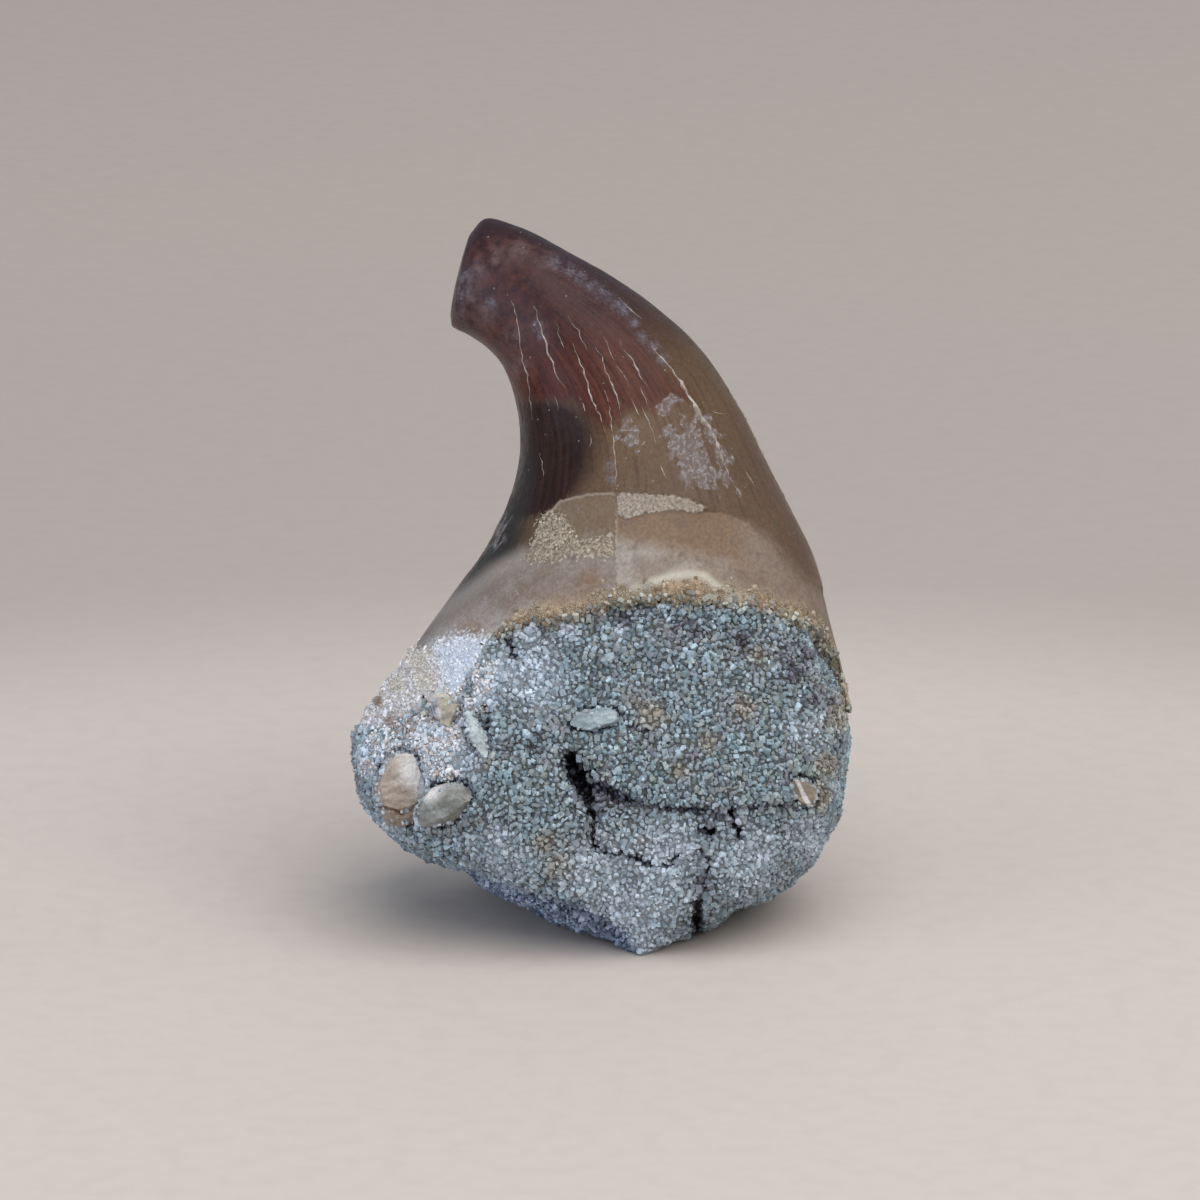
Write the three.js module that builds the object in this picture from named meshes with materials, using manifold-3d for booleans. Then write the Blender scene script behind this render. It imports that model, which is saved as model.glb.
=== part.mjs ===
// A fossil mosasaur tooth, broken from its jaw, on the lump of sandstone that holds its root.
//
// Units are millimetres and +Z is up. The fossil is laid out upright first, on a "face" frame:
// X to the right, Z up and Y away from the broken front face. It is then leaned back onto its
// small flat foot, and its origin is the centre of its bounding box's base.
//
// The crown curves to the left and ends in a worn, blunt tip. The root's front is broken away,
// so the sandstone that fills it shows below the crown, with chips of bone lying in it.

import * as THREE from "three";
import { mergeVertices } from "three/addons/utils/BufferGeometryUtils.js";
import Module from "manifold-3d";

const wasm = await Module();
wasm.setup();

// ---- driving sizes ---------------------------------------------------------------------------

const LEAN = THREE.MathUtils.degToRad(15); // how far the broken face leans back on the foot
const GAP = 0.3; // between a piece and the piece that it sits in
const FOOT_SHAVE = 0.5; // how much of the lowest point the flat foot takes off
const FOOT_FRONT = -8.5; // where that lowest point is, front to back, on the face frame
const FAR = 200; // longer than anything here, for cutting blocks

// The tooth, from its tip to the broken end of its root. Each row is one slice:
// left edge [x, z], right edge [x, z], y of both edges, depth in front of them, depth behind.
const TOOTH_SLICES = [
  [-16.5, 55.3, -14.7, 63.0, 5.6, 3.4, 3.4],
  [-16.3, 54.6, -13.3, 64.3, 5.4, 4.2, 4.2],
  [-14.9, 53.9, -10.6, 63.6, 5.1, 5.0, 5.1],
  [-13.3, 52.8, -6.9, 61.6, 4.7, 5.9, 6.1],
  [-11.9, 51.1, -2.4, 59.0, 4.2, 6.8, 7.1],
  [-11.0, 48.7, 1.6, 56.2, 3.6, 7.8, 8.2],
  [-10.5, 45.7, 5.4, 52.5, 3.0, 8.8, 9.3],
  [-10.6, 42.6, 8.7, 47.6, 2.3, 9.9, 10.4],
  [-11.6, 39.2, 11.1, 42.6, 1.6, 11.0, 11.5],
  [-13.5, 35.4, 13.3, 38.3, 1.0, 12.1, 12.6],
  [-16.5, 31.2, 15.2, 34.0, 0.5, 13.1, 13.6],
  [-19.9, 26.6, 16.5, 29.3, 0.2, 13.9, 14.5],
  [-23.2, 22.2, 17.6, 24.6, 0.0, 14.4, 15.2],
  [-24.7, 19.5, 18.2, 20.9, 0.0, 14.7, 15.5],
];
const TOOTH_STEPS = 31; // slices along the tooth
const TOOTH_SIDES = 46; // points round each slice
const TOOTH_SQUARENESS = 2.15; // 2 is an ellipse, more is boxier
// The worn tip: how far each ring stands past the first slice, and its size.
const WORN_TIP = [
  [0.15, 0.92],
  [0.3, 0.7],
  [0.36, 0.4],
];
const ROOT_RAGGED = 0.9; // how far the root's broken end wanders

// The edge of the break on the root's front, from left to right, as [x, z]. All of the tooth below
// it is gone, as far back as BREAK_SIDE, which is the break's edge on the root's sides, as [y, z].
const BREAK_EDGE = [
  [-26.5, 19.4],
  [-23.1, 19.7],
  [-21.1, 20.0],
  [-18.9, 20.5],
  [-16.9, 20.4],
  [-15.4, 22.3],
  [-14.8, 24.1],
  [-13.8, 25.9],
  [-13.1, 27.5],
  [-11.1, 28.6],
  [-9.8, 29.2],
  [-6.8, 29.2],
  [-4.7, 30.0],
  [-2.3, 30.9],
  [1.2, 31.1],
  [5.1, 31.0],
  [9.7, 30.7],
  [11.5, 30.0],
  [14.5, 28.9],
  [16.2, 27.8],
  [17.1, 25.9],
  [17.3, 23.7],
  [17.8, 22.0],
  [21.0, 20.6],
];
const BREAK_SIDE = [
  [-1.0, 30.0],
  [0.4, 27.6],
  [0.1, 26.2],
  [2.2, 24.1],
  [2.6, 22.4],
  [4.9, 20.6],
  [5.4, 18.9],
  [8.2, 17.3],
  [9.0, 15.2],
];

// The sandstone, from its top, inside the tooth, to under the foot. Each row is one level:
// z, left x, right x, y of both edges, depth in front of them, depth behind.
const ROCK_LEVELS = [
  [34.0, -7.0, 8.0, -1.0, 8.0, 4.0],
  [31.6, -13.0, 12.5, -0.6, 11.3, 6.0],
  [29.4, -16.0, 14.4, -0.4, 12.3, 7.5],
  [27.0, -18.0, 15.4, -0.2, 12.9, 9.0],
  [24.6, -19.8, 16.3, 0.0, 13.5, 10.0],
  [22.4, -21.6, 17.2, 0.0, 14.1, 11.5],
  [20.4, -23.6, 17.9, 0.0, 14.7, 13.0],
  [18.6, -24.9, 18.2, 0.0, 15.1, 14.8],
  [16.4, -24.9, 17.8, 0.0, 15.4, 15.6],
  [14.4, -24.4, 17.6, 0.0, 15.5, 15.9],
  [13.3, -23.8, 17.5, 0.2, 15.5, 15.9],
  [12.1, -22.9, 17.1, 0.3, 15.4, 15.9],
  [10.1, -20.9, 16.0, 0.5, 15.2, 15.8],
  [8.4, -18.1, 14.8, 0.6, 14.8, 15.6],
  [7.8, -15.2, 14.3, 0.7, 14.6, 15.5],
  [6.2, -13.5, 12.7, 0.8, 14.0, 15.4],
  [5.0, -11.0, 10.3, 0.8, 13.2, 15.3],
  [4.1, -8.6, 8.1, 0.8, 12.4, 15.3],
  [3.1, -7.4, 7.1, 0.8, 11.4, 15.2],
  [2.3, -4.3, 4.6, 0.8, 10.6, 15.1],
  [1.2, -2.3, 2.2, 0.8, 9.8, 15.0],
  [0.0, -1.0, 0.9, 0.8, 9.2, 14.8],
];
const ROCK_STEPS = 34;
const ROCK_SIDES = 60;
const ROCK_SQUARENESS = 2.8;
const LUMPS = { height: 0.4, length: 5.6 }; // broad swellings of the sandstone
const RIDGES = { height: 0.55, length: 3.1 }; // sharper ones between them
// The block of the front that has slipped back: below this height and right of this x.
const SLIP = { top: 13.4, left: -4.2, deep: 0.7, edge: 0.5 };
// Three points on the flat break that undercuts the lower left edge.
const UNDERCUT = [
  [-15.2, -10, 8.0],
  [-3.0, -13.5, 5.6],
  [-4.0, -9.0, 2.0],
];

// Hollows worn or cracked into the sandstone's front: a run of [x, z] points, half width, depth.
const HOLLOWS = [
  { run: [[-5.7, 17.3], [-5.1, 16.2], [-4.6, 14.6]], half: 1.0, deep: 3.0 },
  { run: [[-3.9, 15.4], [-2.6, 14.8], [-1.2, 14.0]], half: 0.65, deep: 1.3 },
  { run: [[5.3, 11.5], [6.1, 11.3]], half: 0.45, deep: 1.4 },
  { run: [[-4.3, 13.8], [-4.1, 12.1], [-3.6, 10.0]], half: 0.32, deep: 1.5 },
  { run: [[-2.3, 9.7], [-1.2, 9.3], [0.7, 8.6]], half: 0.26, deep: 1.1 },
  { run: [[1.9, 8.6], [2.4, 8.4], [2.9, 9.2]], half: 0.26, deep: 1.0 },
  { run: [[7.6, 13.3], [8.0, 12.2], [8.5, 10.9]], half: 0.34, deep: 1.6 },
  { run: [[5.2, 10.0], [5.7, 8.9], [5.6, 7.4]], half: 0.22, deep: 0.8 },
  { run: [[4.9, 5.6], [4.9, 4.4], [4.9, 2.4]], half: 0.42, deep: 1.6 },
];

// Chips in the sandstone: middle [x, z], length, width, thickness, turn from level in degrees,
// how far its middle lies under the surface, and how pointed its ends are (0 to 1).
const CHIPS = {
  green_bone_lens: { at: [-16.8, 13.6], size: [6.6, 3.4, 2.8], turn: 33, under: 0.3, point: 0.55 },
  tan_bone_chip: { at: [-20.8, 14.8], size: [7.0, 5.0, 3.6], turn: 72, under: 0.5, point: 0.15 },
  ochre_flake: { at: [-16.6, 21.9], size: [3.8, 2.6, 1.9], turn: -66, under: 0.2, point: 0.2 },
  pale_sliver: { at: [-13.9, 19.7], size: [4.8, 1.3, 1.4], turn: -66, under: 0.1, point: 0.4 },
  pale_splinter: { at: [-3.7, 21.0], size: [4.8, 1.9, 1.8], turn: 8, under: 0.25, point: 0.5 },
  side_bone_chip: { at: [14.2, 14.8], size: [3.4, 2.2, 2.0], turn: -50, under: 0.3, point: 0.3 },
};
const CHIP_DETAIL = 2; // subdivisions of the icosahedron that each chip starts from

// ---- from numbers to solids ------------------------------------------------------------------

function solidFrom(geometry) {
  const bare = geometry.clone();
  bare.deleteAttribute("normal");
  bare.deleteAttribute("uv");
  const merged = mergeVertices(bare, 1e-4);
  return new wasm.Manifold(
    new wasm.Mesh({
      numProp: 3,
      vertProperties: new Float32Array(merged.attributes.position.array),
      triVerts: new Uint32Array(merged.index.array),
    }),
  );
}

// The largest body of a solid, without the crumbs that a cut leaves.
function mainBody(solid) {
  return solid.decompose().reduce((best, body) => (body.volume() > best.volume() ? body : best));
}

function geometryFrom(solid) {
  const mesh = solid.getMesh();
  const geometry = new THREE.BufferGeometry();
  geometry.setAttribute("position", new THREE.BufferAttribute(mesh.vertProperties, 3));
  geometry.setIndex(new THREE.BufferAttribute(mesh.triVerts, 1));
  const flat = geometry.toNonIndexed();
  flat.computeVertexNormals();
  return flat;
}

// A closed skin through rings of points, all with the same number of points and all turning the
// same way, with a fan over each end.
function skin(rings) {
  const sides = rings[0].length;
  const points = rings.flat();
  const middle = (ring) =>
    ring.reduce((sum, point) => sum.add(point), new THREE.Vector3()).divideScalar(sides);
  const first = points.push(middle(rings[0])) - 1;
  const last = points.push(middle(rings.at(-1))) - 1;
  const end = (rings.length - 1) * sides;
  const index = [];
  for (let side = 0; side < sides; side++) {
    const next = (side + 1) % sides;
    index.push(first, side, next);
    index.push(last, end + next, end + side);
    for (let row = 0; row < end; row += sides) {
      index.push(row + side, row + sides + side, row + next);
      index.push(row + next, row + sides + side, row + sides + next);
    }
  }
  const geometry = new THREE.BufferGeometry().setFromPoints(points);
  geometry.setIndex(index);
  return solidFrom(geometry);
}

// Smooth values between the rows of a table, at share 0 to 1 of the way down it.
function rowAt(table, share) {
  const place = share * (table.length - 1);
  const before = Math.min(Math.floor(place), table.length - 2);
  const part = place - before;
  const row = (i) => table[THREE.MathUtils.clamp(i, 0, table.length - 1)];
  return table[0].map((_, column) => {
    const [a, b, c, d] = [-1, 0, 1, 2].map((i) => row(before + i)[column]);
    const rise = (c - a) / 2;
    const nextRise = (d - b) / 2;
    const bend = 3 * (c - b) - 2 * rise - nextRise;
    const twist = rise + nextRise - 2 * (c - b);
    return b + part * (rise + part * (bend + part * twist));
  });
}

// One ring of a boxy oval from edge to edge, deeper in front or behind as given.
function ring(left, right, front, back, sides, squareness) {
  const centre = left.clone().add(right).divideScalar(2);
  const half = right.clone().sub(left).divideScalar(2);
  const boxy = (value) => Math.sign(value) * Math.abs(value) ** (2 / squareness);
  return Array.from({ length: sides }, (_, side) => {
    const angle = (side / sides) * 2 * Math.PI;
    const across = boxy(Math.cos(angle));
    const deep = boxy(Math.sin(angle)) * (Math.sin(angle) > 0 ? back : front);
    return centre.clone().addScaledVector(half, across).add(new THREE.Vector3(0, deep, 0));
  });
}

// A repeatable bump from -1 to 1, smooth over about one unit of length.
function bump(x, y, z) {
  const wander = Math.sin(1.7 * x + 0.9 * z + 0.4) + Math.sin(1.3 * y - 1.1 * x + 2.2);
  return (Math.sin(3.1 * x + wander) + Math.sin(2.7 * y - wander) + Math.sin(3.4 * z + wander)) / 3;
}

// How far the sandstone's surface stands out at a point of it.
function relief(point) {
  const at = (length, shift) =>
    bump(point.x / length + shift, point.y / length, point.z / length - shift);
  const swelling = LUMPS.height * at(LUMPS.length, 0);
  const ridge = RIDGES.height * (0.4 - Math.abs(at(RIDGES.length, 1.3)));
  const inSlip = Math.min(
    THREE.MathUtils.smoothstep(SLIP.top - point.z, 0, SLIP.edge),
    THREE.MathUtils.smoothstep(point.x - SLIP.left, 0, SLIP.edge),
    THREE.MathUtils.smoothstep(-point.y, 4, 9),
  );
  return swelling + ridge - SLIP.deep * inSlip;
}

// Moves a ring's points outwards from its own centre by the given height of each.
function swell(points, height) {
  const centre = points
    .reduce((sum, point) => sum.add(point), new THREE.Vector3())
    .divideScalar(points.length);
  return points.map((point) => {
    const out = point.clone().sub(centre).normalize();
    return point.clone().addScaledVector(out, height(point));
  });
}

// ---- the tooth -------------------------------------------------------------------------------

// The whole tooth before its root broke, grown on every side by a margin.
function toothForm(margin) {
  const rings = [];
  for (let step = 0; step <= TOOTH_STEPS; step++) {
    const [lx, lz, rx, rz, y, front, back] = rowAt(TOOTH_SLICES, step / TOOTH_STEPS);
    const left = new THREE.Vector3(lx, y, lz);
    const right = new THREE.Vector3(rx, y, rz);
    const outward = right.clone().sub(left).normalize();
    left.addScaledVector(outward, -margin);
    right.addScaledVector(outward, margin);
    rings.push(
      ring(left, right, front + margin, back + margin, TOOTH_SIDES, TOOTH_SQUARENESS),
    );
  }
  rings.push(raggedEnd(rings.at(-1), margin));
  return skin([...wornTip(rings[0], rings[1], margin), ...rings]);
}

// The rings of the blunt tip, the farthest first.
function wornTip(firstRing, secondRing, margin) {
  const middle = (points) =>
    points.reduce((sum, p) => sum.add(p), new THREE.Vector3()).divideScalar(points.length);
  const centre = middle(firstRing);
  const edge = firstRing[0].clone().sub(centre).normalize();
  const away = centre.clone().sub(middle(secondRing)).projectOnPlane(edge).normalize();
  return WORN_TIP.map(([past, size]) =>
    firstRing.map((point) =>
      centre
        .clone()
        .addScaledVector(point.clone().sub(centre), size)
        .addScaledVector(away, past + margin),
    ),
  ).reverse();
}

// The root's broken lower end, which wanders up and down round the tooth.
function raggedEnd(points, margin) {
  return points.map((point, side) => {
    const angle = (side / points.length) * 2 * Math.PI;
    const wander = Math.sin(3 * angle + 0.8) + 0.6 * Math.sin(7 * angle + 2);
    return new THREE.Vector3(
      point.x * 0.97,
      point.y * 0.97,
      point.z - 1.6 - ROOT_RAGGED * wander - margin,
    );
  });
}

// A block under an edge, from its first point to its last and on past both, as deep as FAR.
function blockUnder(edge) {
  const outline = new THREE.Shape();
  outline.moveTo(-FAR, -FAR);
  outline.lineTo(-FAR, edge[0][1]);
  edge.forEach(([across, z]) => outline.lineTo(across, z));
  outline.lineTo(FAR, edge.at(-1)[1]);
  outline.lineTo(FAR, -FAR);
  return new THREE.ExtrudeGeometry(outline, { depth: FAR, bevelEnabled: false });
}

// What the break took from the root's front. A margin makes it smaller.
function breakBlock(margin) {
  const below = blockUnder(BREAK_EDGE.map(([x, z]) => [x, z - margin]));
  below.rotateX(Math.PI / 2); // the outline's y becomes z
  below.translate(0, FAR / 2, 0);
  const side = [[-FAR / 2, FAR / 2], ...BREAK_SIDE.map(([y, z]) => [y - margin, z - margin])];
  const before = blockUnder([...side, [side.at(-1)[0] + 0.1, -FAR / 2]]);
  before.rotateX(Math.PI / 2);
  before.rotateZ(Math.PI / 2); // and its x becomes y
  before.translate(-FAR / 2, 0, 0);
  return solidFrom(below).intersect(solidFrom(before));
}

function makeTooth(margin = 0) {
  return toothForm(margin).subtract(breakBlock(margin));
}

// ---- the sandstone ---------------------------------------------------------------------------

function rockLevelAt(z) {
  const below = ROCK_LEVELS.findIndex((level) => level[0] <= z);
  const [low, high] = [ROCK_LEVELS[below], ROCK_LEVELS[below - 1]];
  const part = (z - low[0]) / (high[0] - low[0]);
  return low.map((value, column) => THREE.MathUtils.lerp(value, high[column], part));
}

// The y of the sandstone's front at a point of the face, and the way that it faces there.
function rockFront(x, z) {
  const depthAt = (px, pz) => {
    const [, left, right, y, front] = rockLevelAt(pz);
    const across = Math.abs((px - (left + right) / 2) / ((right - left) / 2));
    return y - front * (1 - Math.min(across, 0.98) ** ROCK_SQUARENESS) ** (1 / ROCK_SQUARENESS);
  };
  const step = 0.6;
  const slopeX = (depthAt(x + step, z) - depthAt(x - step, z)) / (2 * step);
  const slopeZ = (depthAt(x, z + step) - depthAt(x, z - step)) / (2 * step);
  return { y: depthAt(x, z), facing: new THREE.Vector3(slopeX, -1, slopeZ).normalize() };
}

function makeRock() {
  const rings = [];
  for (let step = 0; step <= ROCK_STEPS; step++) {
    const [z, left, right, y, front, back] = rowAt(ROCK_LEVELS, step / ROCK_STEPS);
    const points = ring(
      new THREE.Vector3(left, y, z),
      new THREE.Vector3(right, y, z),
      front,
      back,
      ROCK_SIDES,
      ROCK_SQUARENESS,
    );
    rings.push(swell(points, relief));
  }
  return skin(rings);
}

// A hollow in the sandstone's front: a blunt wedge along a run of points.
function hollow({ run, half, deep }) {
  const beads = run.map(([x, z]) => {
    const { y, facing } = rockFront(x, z);
    return { at: new THREE.Vector3(x, y, z), facing };
  });
  const last = beads.length - 1;
  const rings = beads.map(({ at, facing }, i) => {
    const before = beads[Math.max(i - 1, 0)].at;
    const after = beads[Math.min(i + 1, last)].at;
    const along = after.clone().sub(before).normalize();
    const side = along.clone().cross(facing).normalize();
    const size = i === 0 || i === last ? 0.6 : 1;
    const stretch = half * ((i === last) - (i === 0));
    const centre = at.clone().addScaledVector(along, stretch);
    const place = (sideways, out) =>
      centre
        .clone()
        .addScaledVector(side, sideways * half * size)
        .addScaledVector(facing, out);
    return [place(0, -deep * size), place(1, 0), place(1, 2), place(-1, 2), place(-1, 0)];
  });
  return skin(rings);
}

// Everything beyond the flat break under the lower left edge.
function undercutBlock() {
  const [a, b, c] = UNDERCUT.map(([x, y, z]) => new THREE.Vector3(x, y, z));
  const plane = new THREE.Plane().setFromCoplanarPoints(a, c, b);
  const block = new THREE.BoxGeometry(FAR, FAR, FAR);
  block.translate(0, 0, FAR / 2);
  block.applyQuaternion(
    new THREE.Quaternion().setFromUnitVectors(new THREE.Vector3(0, 0, 1), plane.normal),
  );
  block.translate(a.x, a.y, a.z);
  return solidFrom(block);
}

// ---- chips of bone ---------------------------------------------------------------------------

function makeChip({ at, size, turn, under, point }, margin = 0) {
  const geometry = new THREE.IcosahedronGeometry(1, CHIP_DETAIL);
  const places = geometry.attributes.position;
  const [length, width, thickness] = size.map((value) => value / 2 + margin);
  for (let i = 0; i < places.count; i++) {
    const p = new THREE.Vector3().fromBufferAttribute(places, i);
    const narrow = 1 - point * Math.abs(p.x) ** 2;
    const rough = 1 + 0.07 * bump(p.x * 1.9 + at[0], p.y * 1.9, p.z * 1.9 + at[1]);
    const across = Math.sign(p.z) * Math.abs(p.z) ** 0.9;
    places.setXYZ(i, p.x * length * rough, p.y * thickness * rough, across * width * narrow * rough);
  }
  const { y, facing } = rockFront(...at);
  geometry.rotateY(-THREE.MathUtils.degToRad(turn));
  geometry.applyQuaternion(
    new THREE.Quaternion().setFromUnitVectors(new THREE.Vector3(0, -1, 0), facing),
  );
  const middle = new THREE.Vector3(at[0], y, at[1]).addScaledVector(facing, -under);
  geometry.translate(middle.x, middle.y, middle.z);
  return solidFrom(geometry);
}

// ---- standing the fossil on its foot ---------------------------------------------------------

// Leans a solid back, so that its front face looks slightly up, and lowers it by a drop.
function leanBack(solid, drop) {
  const geometry = geometryFrom(solid);
  geometry.rotateX(-LEAN);
  geometry.translate(0, 0, -drop);
  return solidFrom(geometry);
}

const floorBlock = new THREE.BoxGeometry(FAR, FAR, FAR);
floorBlock.translate(0, 0, -FAR / 2);
const floor = solidFrom(floorBlock);

const solids = { tooth: makeTooth() };
let taken = makeTooth(GAP); // the room of the pieces made so far, with a gap round them
for (const [name, chip] of Object.entries(CHIPS)) {
  solids[name] = makeChip(chip).subtract(taken);
  taken = taken.add(makeChip(chip, GAP));
}
solids.sandstone = HOLLOWS.reduce(
  (rock, shape) => rock.subtract(hollow(shape)),
  makeRock().subtract(undercutBlock()).subtract(taken),
);

// The lowest point of the front, once leaned back, less what the foot takes off.
const drop = -FOOT_FRONT * Math.sin(LEAN) + FOOT_SHAVE;
for (const name of Object.keys(solids)) {
  solids[name] = mainBody(leanBack(solids[name], drop).subtract(floor));
}

// ---- the finished group ----------------------------------------------------------------------

const FINISHES = {
  tooth: { color: 0x6e4f3c, roughness: 0.38 },
  sandstone: { color: 0x7b858b, roughness: 0.95 },
  tan_bone_chip: { color: 0xa58c6c, roughness: 0.7 },
  green_bone_lens: { color: 0x8a9180, roughness: 0.45 },
  ochre_flake: { color: 0xa58a58, roughness: 0.75 },
  pale_sliver: { color: 0xa9b5ae, roughness: 0.6 },
  pale_splinter: { color: 0xa3b1b4, roughness: 0.6 },
  side_bone_chip: { color: 0x96876a, roughness: 0.75 },
};

const fossil = new THREE.Group();
for (const [name, finish] of Object.entries(FINISHES)) {
  const material = new THREE.MeshStandardMaterial({ ...finish, metalness: 0 });
  const mesh = new THREE.Mesh(geometryFrom(solids[name]), material);
  mesh.name = name;
  fossil.add(mesh);
}

// The origin is the centre of the bounding box's base.
const box = new THREE.Box3().setFromObject(fossil);
const centre = box.getCenter(new THREE.Vector3());
fossil.children.forEach((mesh) => {
  mesh.geometry.translate(-centre.x, -centre.y, -box.min.z);
});

export default fossil;
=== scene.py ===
"""A fossil mosasaur tooth in sandstone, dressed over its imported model.

Shapes are worked out in millimetres on the "face" frame: X to the right, Z up the broken front
face and Y away from it. to_row() leans them back onto the flat foot, in metres.
"""

import math

import bmesh
import bpy
import numpy as np
from mathutils import Matrix, Vector, noise
from mathutils.bvhtree import BVHTree


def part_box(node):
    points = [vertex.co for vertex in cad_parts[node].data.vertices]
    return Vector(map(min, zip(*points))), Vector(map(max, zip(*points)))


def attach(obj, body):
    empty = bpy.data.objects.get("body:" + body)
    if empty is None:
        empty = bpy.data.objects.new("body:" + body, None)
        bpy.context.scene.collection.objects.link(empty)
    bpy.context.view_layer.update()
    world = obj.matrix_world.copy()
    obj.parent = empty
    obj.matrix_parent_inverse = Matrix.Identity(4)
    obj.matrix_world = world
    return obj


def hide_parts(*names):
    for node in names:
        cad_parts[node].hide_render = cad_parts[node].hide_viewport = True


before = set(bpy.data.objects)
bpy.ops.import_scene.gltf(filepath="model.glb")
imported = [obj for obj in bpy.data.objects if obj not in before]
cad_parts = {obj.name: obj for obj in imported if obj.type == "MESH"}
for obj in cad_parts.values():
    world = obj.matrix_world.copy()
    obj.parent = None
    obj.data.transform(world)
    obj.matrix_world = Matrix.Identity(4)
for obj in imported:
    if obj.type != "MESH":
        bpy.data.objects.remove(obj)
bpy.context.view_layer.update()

# A millimetre, in the row's metres. A noise of scale 5 / MM has 5 lumps to the millimetre.
MM = 0.001
LEAN = math.radians(15)
# Stands for the distance in mm of what is nowhere near.
FAR = 9.0

# ---- the tooth's form, as in the part --------------------------------------------------------

# left edge x, z, right edge x, z, y of both edges, depth in front, depth behind
TOOTH_SLICES = [
    [-16.5, 55.3, -14.7, 63.0, 5.6, 3.4, 3.4],
    [-16.3, 54.6, -13.3, 64.3, 5.4, 4.2, 4.2],
    [-14.9, 53.9, -10.6, 63.6, 5.1, 5.0, 5.1],
    [-13.3, 52.8, -6.9, 61.6, 4.7, 5.9, 6.1],
    [-11.9, 51.1, -2.4, 59.0, 4.2, 6.8, 7.1],
    [-11.0, 48.7, 1.6, 56.2, 3.6, 7.8, 8.2],
    [-10.5, 45.7, 5.4, 52.5, 3.0, 8.8, 9.3],
    [-10.6, 42.6, 8.7, 47.6, 2.3, 9.9, 10.4],
    [-11.6, 39.2, 11.1, 42.6, 1.6, 11.0, 11.5],
    [-13.5, 35.4, 13.3, 38.3, 1.0, 12.1, 12.6],
    [-16.5, 31.2, 15.2, 34.0, 0.5, 13.1, 13.6],
    [-19.9, 26.6, 16.5, 29.3, 0.2, 13.9, 14.5],
    [-23.2, 22.2, 17.6, 24.6, 0.0, 14.4, 15.2],
    [-24.7, 19.5, 18.2, 20.9, 0.0, 14.7, 15.5],
]
# The power of the sections' superellipse, and how far in mm the root's end wanders.
TOOTH_SQUARENESS = 2.15
ROOT_RAGGED = 0.9
# Below both of these the root has broken away: [x, z] on the front, [y, z] from the side.
BREAK_EDGE = [
    (-26.5, 19.4), (-23.1, 19.7), (-21.1, 20.0), (-18.9, 20.5), (-16.9, 20.4), (-15.4, 22.3),
    (-14.8, 24.1), (-13.8, 25.9), (-13.1, 27.5), (-11.1, 28.6), (-9.8, 29.2), (-6.8, 29.2),
    (-4.7, 30.0), (-2.3, 30.9), (1.2, 31.1), (5.1, 31.0), (9.7, 30.7), (11.5, 30.0),
    (14.5, 28.9), (16.2, 27.8), (17.1, 25.9), (17.3, 23.7), (17.8, 22.0), (21.0, 20.6),
]
BREAK_SIDE = [
    (-100, 100), (-1.0, 30.0), (0.4, 27.6), (0.1, 26.2), (2.2, 24.1), (2.6, 22.4), (4.9, 20.6),
    (5.4, 18.9), (8.2, 17.3), (9.0, 15.2), (9.1, -100),
]

# ---- what lies on the tooth, as [x, z] on its front ------------------------------------------

# Where the enamel ends above the bare dentine.
ENAMEL_LINE = [
    (-30.0, 21.0), (-22.2, 25.9), (-17.9, 28.5), (-16.0, 30.4), (-13.5, 32.1), (-11.4, 33.8),
    (-9.3, 34.8), (-8.5, 37.8), (-6.7, 39.5), (-4.3, 40.0), (-2.2, 40.1), (1.7, 39.5),
    (5.5, 38.7), (7.6, 38.4), (9.1, 37.8), (10.8, 36.4), (12.5, 34.4), (14.0, 32.9),
    (18.7, 30.2),
]
RED_CROWN = [
    (-18.0, 56.0), (-16.0, 61.5), (-11.0, 62.5), (-5.9, 60.0), (-1.9, 56.0), (0.6, 53.5),
    (2.0, 51.0), (3.4, 49.2), (4.2, 48.3), (2.4, 48.0), (1.0, 47.1), (-1.2, 47.1),
    (-1.6, 46.4), (-3.1, 45.4), (-4.2, 46.6), (-6.0, 47.8), (-10.8, 48.0), (-14.5, 52.5),
]
DARK_PATCH = [
    (-13.0, 48.2), (-10.9, 48.1), (-7.0, 48.0), (-5.3, 47.5), (-4.2, 46.4), (-3.7, 44.6),
    (-4.2, 42.0), (-5.6, 40.2), (-8.0, 38.3), (-12.6, 37.6), (-13.5, 42.0),
]
# The dark left flank: partly the enamel's own dark and partly painted shade on the side turned
# from the light.
DARK_FLANK_AND_SHADE = [
    (-13.0, 48.0), (-10.0, 46.0), (-9.6, 41.0), (-9.6, 38.4), (-10.6, 35.2), (-13.6, 32.6),
    (-17.0, 30.2), (-22.0, 26.6), (-30.0, 21.0), (-34.0, 40.0),
]
FILLER_STRIP = [
    (-2.1, 40.2), (0.0, 40.1), (1.2, 39.9), (2.9, 40.0), (4.4, 39.5), (5.6, 38.9), (5.1, 38.4),
    (3.5, 38.6), (1.9, 38.6), (0.4, 38.4), (-1.2, 37.9), (-2.0, 38.3),
]
FILLER_PATCH = [
    (-8.6, 37.6), (-8.0, 38.3), (-7.2, 38.6), (-6.5, 38.3), (-6.1, 37.4), (-5.8, 36.6),
    (-5.3, 36.0), (-4.4, 36.0), (-3.4, 36.4), (-2.4, 36.7), (-2.3, 35.6), (-2.5, 34.8),
    (-3.4, 34.7), (-4.6, 34.9), (-5.5, 34.6), (-6.2, 35.3), (-6.5, 34.8), (-7.4, 34.4),
    (-9.0, 34.2), (-10.1, 34.4), (-9.4, 35.3), (-9.0, 36.4),
]
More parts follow.
